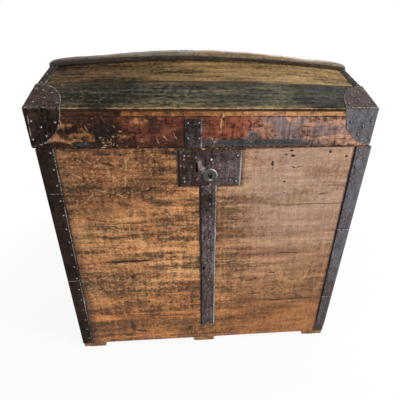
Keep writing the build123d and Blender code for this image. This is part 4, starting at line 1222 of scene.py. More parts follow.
def highlighted_heads(name):
    """Nail heads: dark round the foot, partly grime and painted shade, with a painted highlight on the
    crown that leans towards the right.
    """
    paints = colours()
    recipe = Recipe(name)
    facing = recipe.node("ShaderNodeTexCoord").outputs["Normal"]
    slope = atan2(stave_top_back - stave_top_front, stave_edge - front_face)
    # The painted highlight falls where a head's surface faces these ways, leaning a little to the right,
    # on fronts, backs, ends and sloping staves.
    aside = 0.3
    straight = sqrt(1 - aside**2)
    up = (straight * sin(slope), straight * cos(slope))
    crown = 0.0
    level = ((aside, -straight, 0), (-aside, straight, 0))
    ways = ((1, 0, 0), *level, (aside, -up[0], up[1]), (-aside, *up))
    for way in ways:
        settings = {"operation": "DOT_PRODUCT"}
        along = recipe.node("ShaderNodeVectorMath", settings, {0: facing, 1: way}).outputs["Value"]
        crown = Value(recipe, along).at_least(crown)
    grit = recipe.noise((420.0, 420.0, 420.0), 2.0, 0.7)
    # Painted highlight on the crown; the rest of the head stays dark.
    rubbed = (crown + grit * 0.01).between(0.95, 0.985)
    colour = recipe.mix(paints.dirt_and_shade, recipe.shaded(paints.bright, 1.5), rubbed * 0.9)
    rusty = (grit * 0.4 - 0.35).clamped() * (1 - rubbed)
    colour = recipe.mix(colour, paints.rust, rusty * 0.5)
    finish = {"Metallic": rubbed * 0.5, "Specular_IOR_Level": 0.4}
    return recipe.surface(colour, 0.35 + rusty * 0.3, grit * 0.3, 0.1 * mm, **finish)


def ring_metal(name):
    """The escutcheon: green grey, with a painted highlight as a crescent at the upper right of its rim
    and painted shade at the lower left and round the plug.
    """
    paints = colours()
    recipe = Recipe(name)
    low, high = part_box("lock_escutcheon")
    radius = (high.x - low.x) / 2
    x = recipe.x - (low.x + high.x) / 2
    z = recipe.z - (low.z + high.z) / 2
    reach = (x * x + z * z) ** 0.5
    cloud = recipe.noise((90.0, 90.0, 90.0), 3.0, 0.6)
    grit = recipe.noise((420.0, 420.0, 420.0), 2.0, 0.7)
    colour = recipe.shaded(paints.patina, (0.85 + cloud * 0.15 + grit * 0.1).at_least(0.2))
    turned = (x * 0.8 + z * 0.6) / reach
    # Painted highlight on the upper right of the rim; painted shade on the lower left and round the
    # plug.
    crescent = reach.between(radius - 2.4 * mm, radius - 1.4 * mm) * turned.between(0.3, 0.9)
    colour = recipe.mix(colour, paints.bright, crescent * 0.9)
    rim_shade = reach.between(radius - 2.2 * mm, radius - 1.0 * mm) * turned.between(-0.2, -0.8)
    rim_shade = rim_shade.at_least(reach.between(7.4 * mm, 6.4 * mm) * 0.5)
    colour = recipe.mix(colour, paints.dirt_and_shade, rim_shade * 0.8)
    glint = marks(recipe, (x, z), ((0.5, -10.5, 9, 5, 0),))
    colour = recipe.mix(colour, paints.brass, (glint * 2.5).clamped())
    height = cloud * 0.5 + grit * 0.2
    return recipe.surface(colour, 0.35 + cloud * 0.04, height, 0.15 * mm, Metallic=0.3)


def plug_metal(name):
    """The key plug: dark green grey with a black keyhole round a small brass pin."""
    paints = colours()
    recipe = Recipe(name)
    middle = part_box("key_plug")
    z = (middle[0].z + middle[1].z) / 2 / mm
    at = (recipe.x, recipe.z)
    hole = marks(recipe, at, ((0, z + 2, 12, 12, 0), (1, z - 5, 9, 9, 0)))
    hole = (hole * 4).clamped()
    pin = marks(recipe, at, ((0, z + 3.5, 3.5, 5, 0),))
    grit = recipe.noise((420.0, 420.0, 420.0), 2.0, 0.7)
    colour = recipe.mix(paints.patina, paints.dirt_and_shade, (grit * 0.2 + 0.2).clamped())
    colour = recipe.mix(colour, paints.dirt_and_shade, hole)
    colour = recipe.mix(colour, paints.brass, (pin * 3).clamped() * 0.9)
    height = grit * 0.2 - hole * 3
    return recipe.surface(colour, 0.4 + grit * 0.03, height, 0.3 * mm, Specular_IOR_Level=0.1)


def turned_iron(name, tone, roughness, metallic):
    """Smooth turned or cast metal with a little tarnish."""
    paints = colours()
    recipe = Recipe(name)
    cloud = recipe.noise((90.0, 90.0, 90.0), 3.0, 0.6)
    grit = recipe.noise((420.0, 420.0, 420.0), 2.0, 0.7)
    colour = recipe.mix(tone, paints.dirt_and_shade, (cloud * 0.2 + 0.25).clamped() * 0.7)
    colour = recipe.mix(colour, paints.rust, (grit * 0.3 + cloud * 0.3 - 0.75).clamped() * 0.7)
    rough = (roughness + cloud * 0.04).clamped()
    height = cloud * 0.5 + grit * 0.2
    return recipe.surface(colour, rough, height, 0.15 * mm, Metallic=metallic)


def bolt_iron():
    return kept("bolt iron", turned_iron, colours().grey_iron, roughness=0.4, metallic=0.7)


# Boards of the body. Each open joint has its height, start and end in mm, then shares of the
# crack's width and depth.
open_joints = (
    (327, -281, -150, 1.0, 1.0), (327, -150, -30, 0.45, 0.4), (489, 200, 348, 0.5, 0.4),
    (163, 120, 348, 0.6, 0.5), (337, 180, 258, 0.5, 0.6), (335, 124, 142, 0.5, 0.5),
)


def plank(node, step, radius, outward, seed, extra=(None, None, None), filled=None):
    """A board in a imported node's box; its outward face, an axis and a side, is wavy."""
    low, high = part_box(node)
    places = []
    for axis in range(3):
        more = extra[axis] or ()
        places.append(lines(low[axis], high[axis], step[axis], radius, more))
    points, faces = lattice(*places, filled)
    points = rounded(points, low, high, radius)
    axis, side = outward
    others = [i for i in range(3) if i != axis]
    face = high[axis] if side > 0 else low[axis]
    depth = high[axis] - low[axis]
    share = 1 - np.clip(np.abs(points[:, axis] - face) / depth, 0, 1)
    span = [high[i] - low[i] for i in others]
    long = others[int(np.argmax(span))]
    wide = others[int(np.argmin(span))]
    sink = sizes().board_wave * hollows(points[:, long] / 4, points[:, wide], 90 * mm, seed)
    points[:, axis] -= side * sink * share
    return points, faces


def make_front_boards():
    measure = sizes()
    material = front_pine("varnished pine front")
    low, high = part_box("lock_case")
    gap = Vector((0.3 * mm,) * 3)
    pocket_low, pocket_high = low - gap, high + gap

    def around_lock(x, y, z):
        """Wood everywhere but in the pocket for the lock case."""
        in_x = (x > pocket_low.x) & (x < pocket_high.x)
        in_z = (z > pocket_low.z) & (z < pocket_high.z)
        return ~(in_x & in_z & (y < pocket_high.y))

    for number in range(1, 5):
        node = f"front_board_{number}"
        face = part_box(node)[0].y
        cuts = []
        for z, *_ in open_joints:
            for offset in (-1, -0.5, 0, 0.5, 1):
                cuts.append(z * mm + offset * measure.crack_width)
        extra = [None, None, cuts]
        filled = None
        if number == 4:
            extra = [[pocket_low.x, pocket_high.x], [pocket_high.y]]
            extra.append([pocket_low.z, pocket_high.z, *cuts])
            filled = around_lock
        radius = measure.board_edge
        step = (7 * mm, 6 * mm, 6 * mm)
        points, faces = plank(node, step, radius, (1, -1), number, extra, filled)
        share = 1 - np.clip((points[:, 1] - face) / (4 * mm), 0, 1)
        for z, start, end, width, depth in open_joints:
            half = measure.crack_width * width
            along = ramp(points[:, 0], start * mm, start * mm + 12 * mm)
            along = along * (1 - ramp(points[:, 0], end * mm - 12 * mm, end * mm))
            near = np.clip(1 - np.abs(points[:, 2] - z * mm) / half, 0, 1)
            points[:, 1] += share * near * along * depth * measure.crack_depth
        piece = make_piece(f"front_board_face_{number}", (points, faces))
        dress(piece, node, material)


def make_wall_boards():
    radius = sizes().board_edge
    back = wall_pine("varnished pine back", 0, 2.3)
    ends = wall_pine("varnished pine ends", 1, 5.1)
    for number in range(1, 4):
        node = f"back_board_{number}"
        mesh = plank(node, (9 * mm, 6 * mm, 8 * mm), radius, (1, 1), 20 + number)
        dress(make_piece(f"back_board_face_{number}", mesh), node, back)
        for hand, side in (("left", -1), ("right", 1)):
            node = f"{hand}_side_board_{number}"
            mesh = plank(node, (6 * mm, 9 * mm, 8 * mm), radius, (0, side), 30 + number * side)
            piece = make_piece(f"{hand}_side_board_face_{number}", mesh)
            dress(piece, node, ends)


def make_bottom():
    low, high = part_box("bottom_boards")
    count = 4
    width = (high.y - low.y) / count
    radius = 0.8 * mm
    boards = []
    for i in range(count):
        near = Vector((low.x, low.y + i * width, low.z))
        far = Vector((high.x, near.y + width, high.z))
        steps = (20 * mm, 12 * mm, 6 * mm)
        places = [lines(near[a], far[a], steps[a], radius) for a in range(3)]
        points, faces = lattice(*places)
        points = rounded(points, near, far, radius)
        share = (points[:, 2] - near.z) / (far.z - near.z)
        points[:, 2] -= share * 0.5 * mm * hollows(points[:, 0] / 4, points[:, 1], 70 * mm, i)
        boards.append((points, faces))
    inside = bare_pine("bare pine bottom", 0)
    dress(make_piece("bottom_planks", together(*boards)), "bottom_boards", inside)
    rough = bare_pine("bare pine runners", 1)
    for seed, hand in enumerate(("left", "centre", "right")):
        node = f"runner_{hand}"
        mesh = plank(node, (6 * mm, 9 * mm, 4 * mm), 1.2 * mm, (2, 1), 50 + seed)
        points, faces = mesh
        chip = ripple(points[:, 0], points[:, 2], 22 * mm, 60 + seed)
        front = 1 - ramp(points[:, 1], front_face, front_face + 8 * mm)
        points[:, 1] += front * np.maximum(chip, 0) * 1.5 * mm
        dress(make_piece(f"runner_board_{hand}", (points, faces)), node, rough)


# Irons of the body
def flange_width(z):
    """Width of a corner iron's front flange at a height: it narrows towards the floor."""
    share = (z - body_low.z) / (body_high.z - body_low.z)
    return iron_foot_width + share * (iron_top_width - iron_foot_width)


def corner_iron(node, seed, foot_cut):
    """One folded length of a corner iron in its node's box, worked out as a front right one."""
    measure = sizes()
    low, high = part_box(node)
    outer = max(abs(low.x), abs(high.x))
    face = -max(abs(low.y), abs(high.y))
    side_width = high.y - low.y
    zs = lines(low.z, high.z, 7 * mm, 1 * mm)
    across = lines(0, 1, 0.07, 0.03, (0.5,))
    share, z = np.meshgrid(across, zs, indexing="ij")
    wave = ripple(z, 0 * z, 55 * mm, seed)
    foot = (1 - (z - low.z) / iron_foot_cut).clip(0, 1)
    wide = flange_width(z) + measure.iron_wave * wave - foot_cut * foot
    side = side_width + measure.iron_wave * ripple(z, 0 * z, 70 * mm, seed + 1)
    side = np.minimum(side, side_width + 0.6 * mm)
    in_front = share < 0.5
    depth_x = np.where(in_front, wide * (1 - 2 * share), 0)
    depth_y = np.where(in_front, 0, side * (2 * share - 1))
    lift = measure.iron_lift * hollows(z, share * 0.1, 60 * mm, seed + 2)
    lift = lift * np.abs(2 * share - 1)
    grids = []
    for inward in (0, sheet):
        depths = folded(np.stack([depth_x, depth_y], axis=-1), measure.fold_radius, inward)
        x = outer - depths[..., 0] + np.where(in_front, 0, lift)
        y = face + depths[..., 1] - np.where(in_front, lift, 0)
        grids.append(np.stack([x, y, z], axis=-1))
    return sheet_of(*grids)


def make_body_irons():
    measure = sizes()
    for hand in ("left", "right"):
        for seed, length_name in enumerate(("lower", "middle", "upper")):
            node = f"front_{hand}_corner_iron_{length_name}"
            cut = iron_foot_cut if length_name == "lower" else 0
            mesh = corner_iron(node, 70 + seed + (hand == "left") * 10, cut)
            if hand == "left":
                mesh = mirrored(mesh, 0)
            material = left_iron() if hand == "left" else grey_iron()
            piece = make_piece(f"{hand}_corner_sheet_{length_name}", mesh)
            dress(piece, node, material)
        node = f"rear_{hand}_corner_iron"
        mesh = mirrored(corner_iron(node, 90 + (hand == "left"), 0), 1)
        if hand == "left":
            mesh = mirrored(mesh, 0)
        dress(make_piece(f"rear_{hand}_corner_sheet", mesh), node, dark_iron())

    low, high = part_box("centre_strap")
    zs = lines(low.z, high.z, 5 * mm, 1 * mm)
    share, z = np.meshgrid(lines(-1, 1, 0.2, 0.06), zs, indexing="ij")
    height = (z - low.z) / (high.z - low.z)
    half = (high.x - low.x) / 2 - measure.strap_waist / 2 * np.sin(pi * height)
    left = half + measure.iron_wave * ripple(z, 0 * z, 38 * mm, 101)
    right = half + measure.iron_wave * ripple(z, 0 * z, 46 * mm, 102)
    drift = strap_lean * (0.5 - height)
    x = drift + np.where(share < 0, share * left, share * right)
    lift = 0.5 * mm * np.abs(share) ** 4 * hollows(z, share * 0.05, 40 * mm, 103)
    outer = np.stack([x, low.y - lift, z], axis=-1)
    inner = np.stack([x, high.y - lift, z], axis=-1)
    piece = make_piece("centre_strap_sheet", sheet_of(outer, inner, 1.5 * mm))
    dress(piece, "centre_strap", strap_iron())


# The lock
def make_lock_pieces():
    measure = sizes()
    low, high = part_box("lock_plate")
    slot_x, slot_z = staple_slot_x, high.z - staple_slot_depth
    wide, tall = staple_slot_half_width, staple_slot_half_height
    key_z = high.z - keyhole_depth
    step, radius = 3 * mm, 0.5 * mm
    xs = lines(low.x, high.x, step, radius, (slot_x - wide, slot_x + wide))
    ys = np.array([low.y, low.y + 0.4 * mm, high.y])
    zs = lines(low.z, high.z, step, radius, (slot_z - tall, slot_z + tall))

    def filled(x, y, z):
        """Iron everywhere but in the staple's slot and behind the escutcheon's plug."""
        slot = (np.abs(x - slot_x) < wide) & (np.abs(z - slot_z) < tall)
        return ~slot & (np.hypot(x, z - key_z) > keyhole_bore)

    points, faces = lattice(xs, ys, zs, filled)
    points = rounded(points, low, high, radius)
    x, _, z = points.T
    away = np.hypot((x - slot_x - 9 * mm) / (9 * mm), (z - slot_z) / (15 * mm))
    dent = measure.plate_dent * np.exp(-(away**2) * 1.5)
    corner = np.hypot(x / high.x, (z - (low.z + high.z) / 2) / (high.z - low.z) * 2)
    wave = 0.25 * mm * hollows(x, z, 60 * mm, 110)
    lift = 0.5 * mm * ramp(corner, 1.05, 1.45) * ramp(ripple(x, z, 150 * mm, 111), -0.4, 0.6)
    points[:, 1] += dent - wave - lift
    dress(make_piece("lock_plate_sheet", (points, faces)), "lock_plate", plate_iron())
    coat("lock_escutcheon", kept("escutcheon metal", ring_metal))
    coat("key_plug", kept("key plug metal", plug_metal))
    coat("lock_case", dark_iron())
    coat("lock_bolt", bolt_iron())
    coat("lock_screws", nail_iron())


def make_fittings():
    forged = kept("forged iron", turned_iron, colours().strap_iron, roughness=0.5, metallic=0.4)
    for hand in ("left", "right"):
        coat(f"hinge_leaf_{hand}", dark_iron())
        coat(f"lid_hinge_strap_{hand}", dark_iron())
        coat(f"handle_plate_{hand}", dark_iron())
        coat(f"handle_{hand}", forged)
    coat("hinge_pins", bolt_iron())


def make_nails():
    coat("body_nails", nail_iron())
    coat("lid_nails", nail_iron())


# The lid
def arch(x, rise):
    """Height of an arc over the lid's length, at x from the lid's middle."""
    radius = (half_width**2 + rise**2) / (2 * rise)
    return rise - radius + np.sqrt(radius**2 - x**2)


def stave_surface(x, y):
    """Height of a stave's top; x is from the lid's middle and y on the front half."""
    share = (y - front_face) / (stave_edge - front_face)
    rise = stave_top_back - stave_top_front + arch(x, stave_arch)
    return stave_top_front + share * rise


def panel_surface(x, y):
    """Height of a panel's top; x is from the lid's middle and y on the front half."""
    share = (y - stave_edge) / (0 - stave_edge)
    low = panel_top_front + arch(x, stave_arch)
    high = panel_top_ridge + arch(x, ridge_arch)
    return low + share * (high - low)


def lid_board():
    """The lid's front board, with its bevel, its sloped top edge and a ragged lower edge."""
    measure = sizes()
    low = Vector(lid_board_low)
    high = Vector((lid_board_high.x, lid_board_high.y, stave_low.z))
    radius = 0.6 * mm
    bevel_start = high.z + stave_slope * lid_bevel_depth - lid_bevel_height
    xs = lines(low.x, high.x, 3 * mm, radius)
    ys = lines(low.y, high.y, 5 * mm, radius, (low.y + 2 * mm,))
    zs = lines(low.z, high.z, 5 * mm, radius, (low.z + 1.5 * mm, low.z + 3 * mm, bevel_start))
    points, faces = lattice(xs, ys, zs)
    points = rounded(points, low, high, radius)
    x, y, z = points.T
    share = 1 - (y - low.y) / (high.y - low.y)
    height = (z - low.z) / (high.z - low.z)
    sink = 0.5 * mm * hollows(x / 4, z, 60 * mm, 120)
    bevel = lid_bevel_depth * np.clip((z - bevel_start) / lid_bevel_height, 0, 1)
    foot = 1 - ramp(z, low.z, low.z + 3.5 * mm)
    rag = 0.35 + 0.8 * ripple(x, 0 * x, 17 * mm, 121) + 0.5 * ripple(x, 0 * x, 60 * mm, 122)
    rag = np.clip(rag, 0, 1.3)
    points[:, 1] += share * (sink + bevel) + ramp(share, 0.7, 1.0) * foot * rag * measure.lid_chip
    points[:, 2] += stave_slope * (y - low.y) * height**6
    points[:, 2] += ramp(share, 0.75, 1.0) * foot * rag * measure.lid_chip * 0.7
    return points, faces


def lid_end():
    """An end board of the lid, on the right: flat below, cut to the slopes above."""
    low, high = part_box("lid_right_end")
    inner_y = front_face + board_thickness
    inner_top = stave_low.z + stave_slope * board_thickness
    stave_under = stave_top_back - stave_thickness
    panel_under = panel_top_front - panel_thickness
    tight = 0.01 * mm
    ys = [inner_y, stave_edge - tight, stave_edge + tight]
    ys = [*ys, 0, *(-y for y in reversed(ys))]
    tops = [inner_top, stave_under, panel_under]
    tops = [*tops, panel_under + panel_rise, *reversed(tops)]
    radius = 0.6 * mm
    unit = 100 * mm
    flat_low = Vector((low.x, inner_y, 0))
    flat_high = Vector((high.x, -inner_y, unit))
    places = [lines(low.x, high.x, 6 * mm, radius), lines(inner_y, -inner_y, 8 * mm, radius, ys)]
    points, faces = lattice(*places, lines(0, unit, 8 * mm, radius))
    points = rounded(points, flat_low, flat_high, radius)
    top = np.interp(points[:, 1], ys, tops)
    points[:, 2] = low.z + points[:, 2] / unit * (top - low.z)
    share = (points[:, 0] - low.x) / (high.x - low.x)
    points[:, 0] -= share * 0.5 * mm * hollows(points[:, 1] / 3, points[:, 2], 60 * mm, 125)
    return points, faces


def cover_board(surface, y_range, thickness, radius, seed):
    """A board of the lid's cover whose top follows a surface."""
    low = Vector((-half_width, y_range[0], 0))
    high = Vector((half_width, y_range[1], thickness))
    steps = (6 * mm, 5 * mm, 3 * mm)
    places = [lines(low[a], high[a], steps[a], radius) for a in range(3)]
    points, faces = lattice(*places)
    points = rounded(points, low, high, radius)
    x, y, above = points.T.copy()
    share = above / thickness
    wave = 0.5 * mm * hollows(x / 4, y, 50 * mm, seed)
    points[:, 2] = surface(x, y) - thickness + above - share * wave
    front = 1 - ramp(y, y_range[0], y_range[0] + 4 * mm)
    points[:, 1] += front * share * 0.8 * mm * hollows(x, 0 * x, 24 * mm, seed + 1)
    return points, faces


def ridge_slat():
    """The slat along the ridge: thicker in its middle, crowned, with rounded thin ends."""
    radius = sizes().slat_round
    half = (slat_high.x - slat_low.x) / 2
    unit = 12 * mm
    low = Vector((-half, slat_low.y, 0))
    high = Vector((half, slat_high.y, unit))
    steps = (6 * mm, 4 * mm, 3 * mm)
    places = [lines(low[a], high[a], steps[a], radius) for a in range(3)]
    points, faces = lattice(*places)
    under = points[:, 2] < unit / 2
    soft = rounded(points, low, high, radius)
    points = np.where(under[:, None], rounded(points, low, high, 0.6 * mm), soft)
    x, y, above = points.T.copy()
    slat_front = slat_low.y
    share = 1 - np.abs(y) / -slat_front
    edge_under = panel_surface(x, slat_front + 0 * y) + seat_gap
    ridge_under = panel_top_ridge + seat_gap + arch(x, ridge_arch)
    bottom = edge_under + share * (ridge_under - edge_under)
    end_rise = arch(np.clip(x, -half_width, half_width), slat_top_arch)
    top = panel_surface(half_width, slat_front) + seat_gap + slat_end_thickness
    top = top + end_rise + share * slat_crown
    near_end = ramp(np.abs(x), half - 130 * mm, half - 25 * mm)
    end = np.clip((np.abs(x) - half + 12 * mm) / (12 * mm), 0, 1)
    nose = 6 * mm * near_end - 5.5 * mm * (1 - np.sqrt(1 - 0.9 * end**2))
    wave = 0.6 * mm * ripple(x, y, 60 * mm, 131)
    points[:, 2] = bottom + above / unit * (top - bottom + nose + wave)
    points[:, 1] = y * (1 - 0.28 * end**2) + 0.5 * mm * ripple(x, 0 * x, 90 * mm, 132)
    return points, faces


def moved_to_lid(mesh):
    points, faces = mesh
    return points + np.array([lid_middle, 0, 0]), faces


def make_lid_boards():
    board = lid_board()
    front = red_lid("red stained front", True)
    back = red_lid("red stained back", False)
    dress(make_piece("lid_front_face", board), "lid_front_board", front)
    piece = make_piece("lid_back_face", mirrored(board, 1))
    dress(piece, "lid_back_board", back)
    end = lid_end()
    pine = lid_end_pine("lid end pine")
    dress(make_piece("lid_right_end_board", end), "lid_right_end", pine)
    left = mirrored(end, 0, lid_middle)
    dress(make_piece("lid_left_end_board", left), "lid_left_end", pine)


def make_lid_cover():
    wear = sizes().stave_wear
    black = stave_paint("green black stave")
    yellow = ochre_panel("ochre panel")
    stave = cover_board(stave_surface, (front_face, stave_edge), stave_thickness, wear, 140)
    panel = cover_board(panel_surface, (stave_edge, 0), panel_thickness, 1.2 * mm, 144)
    for name, mesh, slot, material in (
        ("stave", stave, "dark_painted_wood", black),
        ("panel", panel, "ochre_wood", yellow),
    ):
        front = moved_to_lid(mesh)
        dress(make_piece(f"front_{name}_board", front), f"lid_front_{name}", material)
        piece = make_piece(f"back_{name}_board", mirrored(front, 1))
        dress(piece, f"lid_back_{name}", material)
    slat = make_piece("ridge_slat_board", moved_to_lid(ridge_slat()))
    dress(slat, "ridge_slat", slat_wood("ridge slat wood"))


def lid_corner():
    """The front right corner iron of the lid: three petals of one sheet folded round the corner."""
    measure = sizes()
    outer = half_width + sheet
    face = front_face - sheet
    lift = seat_gap + sheet
    low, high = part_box("lid_front_right_corner_iron")
    reach_x, reach_y = high.x - low.x, stave_edge - front_face
    reach_z = stave_top_front + lift - low.z
    rays = np.array([[reach_x, 0, 0], [0, 0, reach_z], [0, reach_y, 0], [reach_x, 0, 0]])
    turns = np.linspace(0, pi / 2, 15)
    rim = []
    for start, end in zip(rays, rays[1:]):
        for turn in turns[:-1]:
            rim.append(start * cos(turn) + end * sin(turn))
    rim = np.array(rim + [rim[0]])
    around = np.arange(len(rim)) / (len(rim) - 1) * 2 * pi
    wave = 1 + 0.012 * np.sin(around * 9 + 1) + 0.008 * np.sin(around * 17)
    rim = rim * wave[:, None]
    shares = np.concatenate([[0.006], np.linspace(0.03, 0.965, 16), [0.985, 0.995, 1.0]])
    depths = rim[:, None, :] * shares[None, :, None]
    grids = []
    for inward in (0, sheet):
        x_in, y_in, z_in = np.moveaxis(folded(depths, measure.fold_radius, inward), -1, 0)
        x = outer - x_in
        y = face + y_in
        z = stave_surface(x, y) + lift - z_in
        grids.append(np.stack([x, y, z], axis=-1))
    outer_grid, inner_grid = grids
    petal, wear = 80 * mm, 1 * mm
    fade = np.clip((1 - shares) * petal / wear, 0, 1)
    thin = 0.4 + 0.6 * np.sqrt(1 - (1 - fade) ** 2)
    outer_grid = inner_grid + (outer_grid - inner_grid) * thin[None, :, None]
    rows, columns = outer_grid.shape[0] - 1, outer_grid.shape[1]
    index = np.arange(rows * columns).reshape(rows, columns)
    ring = np.concatenate([index, index[:1]])
    count = rows * columns
    edge = edge_of(ring[:, -1], count)
    faces = np.concatenate([quads(ring), quads(ring + count)[:, ::-1], edge])
    points = np.concatenate([outer_grid[:-1].reshape(-1, 3), inner_grid[:-1].reshape(-1, 3)])
    caps = [index[:, 0].tolist(), (index[:, 0] + count).tolist()]
    return (points, faces), caps


def end_band():
    """The front right end band: an angle of sheet iron along the panel's edge."""
    measure = sizes()
    outer = half_width + sheet
    lift = seat_gap + sheet
    ys = lines(stave_edge, slat_low.y, 5 * mm, 1 * mm)
    share, y = np.meshgrid(lines(0, 1, 0.08, 0.03, (0.5,)), ys, indexing="ij")
    wide = band_width + measure.iron_wave * ripple(y, 0 * y, 40 * mm, 150)
    drop = band_drop + measure.iron_wave * ripple(y, 0 * y, 40 * mm, 151)
    depth_x = np.where(share < 0.5, wide * (1 - 2 * share), 0)
    depth_z = np.where(share < 0.5, 0, drop * (2 * share - 1))
    grids = []
    for inward in (0, sheet):
        depths = folded(np.stack([depth_x, depth_z], axis=-1), measure.fold_radius, inward)
        x = outer - depths[..., 0]
        z = panel_surface(np.minimum(x, half_width), y) + lift - depths[..., 1]
        grids.append(np.stack([x, y, z], axis=-1))
    return sheet_of(*grids)


def make_lid_irons():
    corner, caps = lid_corner()
    corner = moved_to_lid(corner)
    band = moved_to_lid(end_band())
    for hand in ("left", "right"):
        for end in ("front", "rear"):
            mesh = corner
            if hand == "left":
                mesh = mirrored(mesh, 0, lid_middle)
            if end == "rear":
                mesh = mirrored(mesh, 1)
            node = f"lid_{end}_{hand}_corner_iron"
            piece = make_piece(f"lid_{end}_{hand}_corner_sheet", mesh, caps)
            dress(piece, node, lid_iron(hand))
        both = together(band, mirrored(band, 1))
        if hand == "left":
            both = mirrored(both, 0, lid_middle)
        piece = make_piece(f"lid_end_band_sheet_{hand}", both)
        dress(piece, f"lid_end_band_{hand}", band_iron())
    coat("hasp_plate", hasp_iron())


# The stage
ambient_strength = 0.36
backdrop_strength = 1.0
camera_place = (-0.0635, -0.9038, 0.8761)
camera_pitch, camera_yaw, camera_roll = radians(28.16), radians(5.35), radians(1.27)


def seen_directly(recipe):
    """1 for rays that show the background itself: from the camera, or by reflection."""
    path = recipe.node("ShaderNodeLightPath").outputs
    seen = Value(recipe, path["Is Camera Ray"])
    for way in ("Is Glossy Ray", "Is Transmission Ray"):
        seen = seen.at_least(Value(recipe, path[way]))
    return seen


def make_floor():
    half = 9.0
    data = bpy.data.meshes.new("studio floor")
    corners = [(-half, -half, 0), (half, -half, 0), (half, half, 0), (-half, half, 0)]
    data.from_pydata(corners, [], [(0, 1, 2, 3)])
    floor = bpy.data.objects.new("studio_floor", data)
    bpy.context.scene.collection.objects.link(floor)
    recipe = Recipe("studio floor white")
    paper = recipe.noise((40.0, 40.0, 40.0), 2.0)
    colour = recipe.shaded(tuple(colours().floor), 1.0 + paper * 0.004)
    diffuse = recipe.node("ShaderNodeBsdfDiffuse", None, {"Color": colour}).outputs[0]
    shine = {"Color": (1, 1, 1, 1), "Strength": 1.0}
    glow = recipe.node("ShaderNodeEmission", None, shine).outputs[0]
    near = marks(recipe, (recipe.x, recipe.y), ((0, 0, 2200, 2200, 0),))
    white = (0.9 + (1 - near.between(0.0, 0.4)) * 0.1) * seen_directly(recipe)
    mixed = recipe.node("ShaderNodeMixShader", None, {0: white, 1: diffuse, 2: glow}).outputs[0]
    recipe.node("ShaderNodeOutputMaterial", None, {"Surface": mixed})
    data.materials.append(recipe.material)


def make_world():
    world = bpy.data.worlds.new("studio world")
    bpy.context.scene.world = world
    world.use_nodes = True
    tree = world.node_tree
    tree.nodes.clear()
    path = tree.nodes.new("ShaderNodeLightPath").outputs
    backgrounds = []
    for strength in (ambient_strength, backdrop_strength):
        background = tree.nodes.new("ShaderNodeBackground")
        background.inputs["Color"].default_value = (1, 1, 1, 1)
        background.inputs["Strength"].default_value = strength
        backgrounds.append(background)
    seen = path["Is Camera Ray"]
    for way in ("Is Glossy Ray", "Is Transmission Ray"):
        either = tree.nodes.new("ShaderNodeMath")
        either.operation = "MAXIMUM"
        tree.links.new(seen, either.inputs[0])
        tree.links.new(path[way], either.inputs[1])
        seen = either.outputs[0]
    mixed = tree.nodes.new("ShaderNodeMixShader")
    tree.links.new(seen, mixed.inputs[0])
    for place, background in enumerate(backgrounds, start=1):
        tree.links.new(background.outputs[0], mixed.inputs[place])
    output = tree.nodes.new("ShaderNodeOutputWorld")
    tree.links.new(mixed.outputs[0], output.inputs["Surface"])


def make_lamp(name, place, target, size, power):
    """A square soft lamp that faces a point."""
    data = bpy.data.lights.new(name, "AREA")
    data.size = size
    data.energy = power
    lamp = bpy.data.objects.new(name, data)
    lamp.location = place
    lamp.rotation_euler = (Vector(target) - Vector(place)).to_track_quat("-Z", "Y").to_euler()
    bpy.context.scene.collection.objects.link(lamp)


def make_camera():
    """The photograph's view: a short lens held close above the front."""
    data = bpy.data.cameras.new("photograph view")
    data.sensor_width = 36.0
    data.lens = 28.8
    data.shift_x = -0.0245
    camera = bpy.data.objects.new("photograph_view", data)
    pitch, yaw, roll = camera_pitch, camera_yaw, camera_roll
    right = Vector((cos(yaw), -sin(yaw), 0))
    forward = Vector((sin(yaw) * cos(pitch), cos(yaw) * cos(pitch), -sin(pitch)))
    up = Vector((sin(yaw) * sin(pitch), cos(yaw) * sin(pitch), cos(pitch)))
    across = cos(roll) * right + sin(roll) * up
    upward = cos(roll) * up - sin(roll) * right
    turned = Matrix((across, upward, -forward)).transposed().to_4x4()
    camera.matrix_world = Matrix.Translation(camera_place) @ turned
    bpy.context.scene.collection.objects.link(camera)
    bpy.context.scene.camera = camera


def make_stage():
    bpy.context.scene.view_settings.view_transform = "Standard"
    make_world()
    make_floor()
    middle = (0, 0, 0.45)
    make_lamp("key lamp", (1.9, -1.2, 2.1), middle, 0.8, 52)
    make_lamp("fill lamp", (-2.0, -1.9, 1.5), middle, 1.8, 14)
    make_lamp("back lamp", (0.8, 2.3, 2.0), middle, 1.5, 26)
    make_camera()


# Operators
class TRUNK_OT_front_boards(bpy.types.Operator):
    """Make the four varnished boards of the front"""

    bl_idname = "trunk.front_boards"
    bl_label = "Front boards"

    def execute(self, context):
        make_front_boards()
        return {"FINISHED"}


class TRUNK_OT_wall_boards(bpy.types.Operator):
    """Make the boards of the back and of the two ends"""

    bl_idname = "trunk.wall_boards"
    bl_label = "Back and end boards"

    def execute(self, context):
        make_wall_boards()
        return {"FINISHED"}


class TRUNK_OT_bottom(bpy.types.Operator):
    """Make the bottom planks and the three runners"""

    bl_idname = "trunk.bottom"
    bl_label = "Bottom and runners"

    def execute(self, context):
        make_bottom()
        return {"FINISHED"}


class TRUNK_OT_body_irons(bpy.types.Operator):
    """Make the folded corner irons and the strap of the body"""

    bl_idname = "trunk.body_irons"
    bl_label = "Body irons"

    def execute(self, context):
        make_body_irons()
        return {"FINISHED"}


class TRUNK_OT_lock(bpy.types.Operator):
    """Make the dented lock plate and finish the lock's other parts"""

    bl_idname = "trunk.lock"
    bl_label = "Lock"

    def execute(self, context):
        make_lock_pieces()
        return {"FINISHED"}


class TRUNK_OT_fittings(bpy.types.Operator):
    """Finish the hinges and the bail handles"""

    bl_idname = "trunk.fittings"
    bl_label = "Hinges and handles"

    def execute(self, context):
        make_fittings()
        return {"FINISHED"}


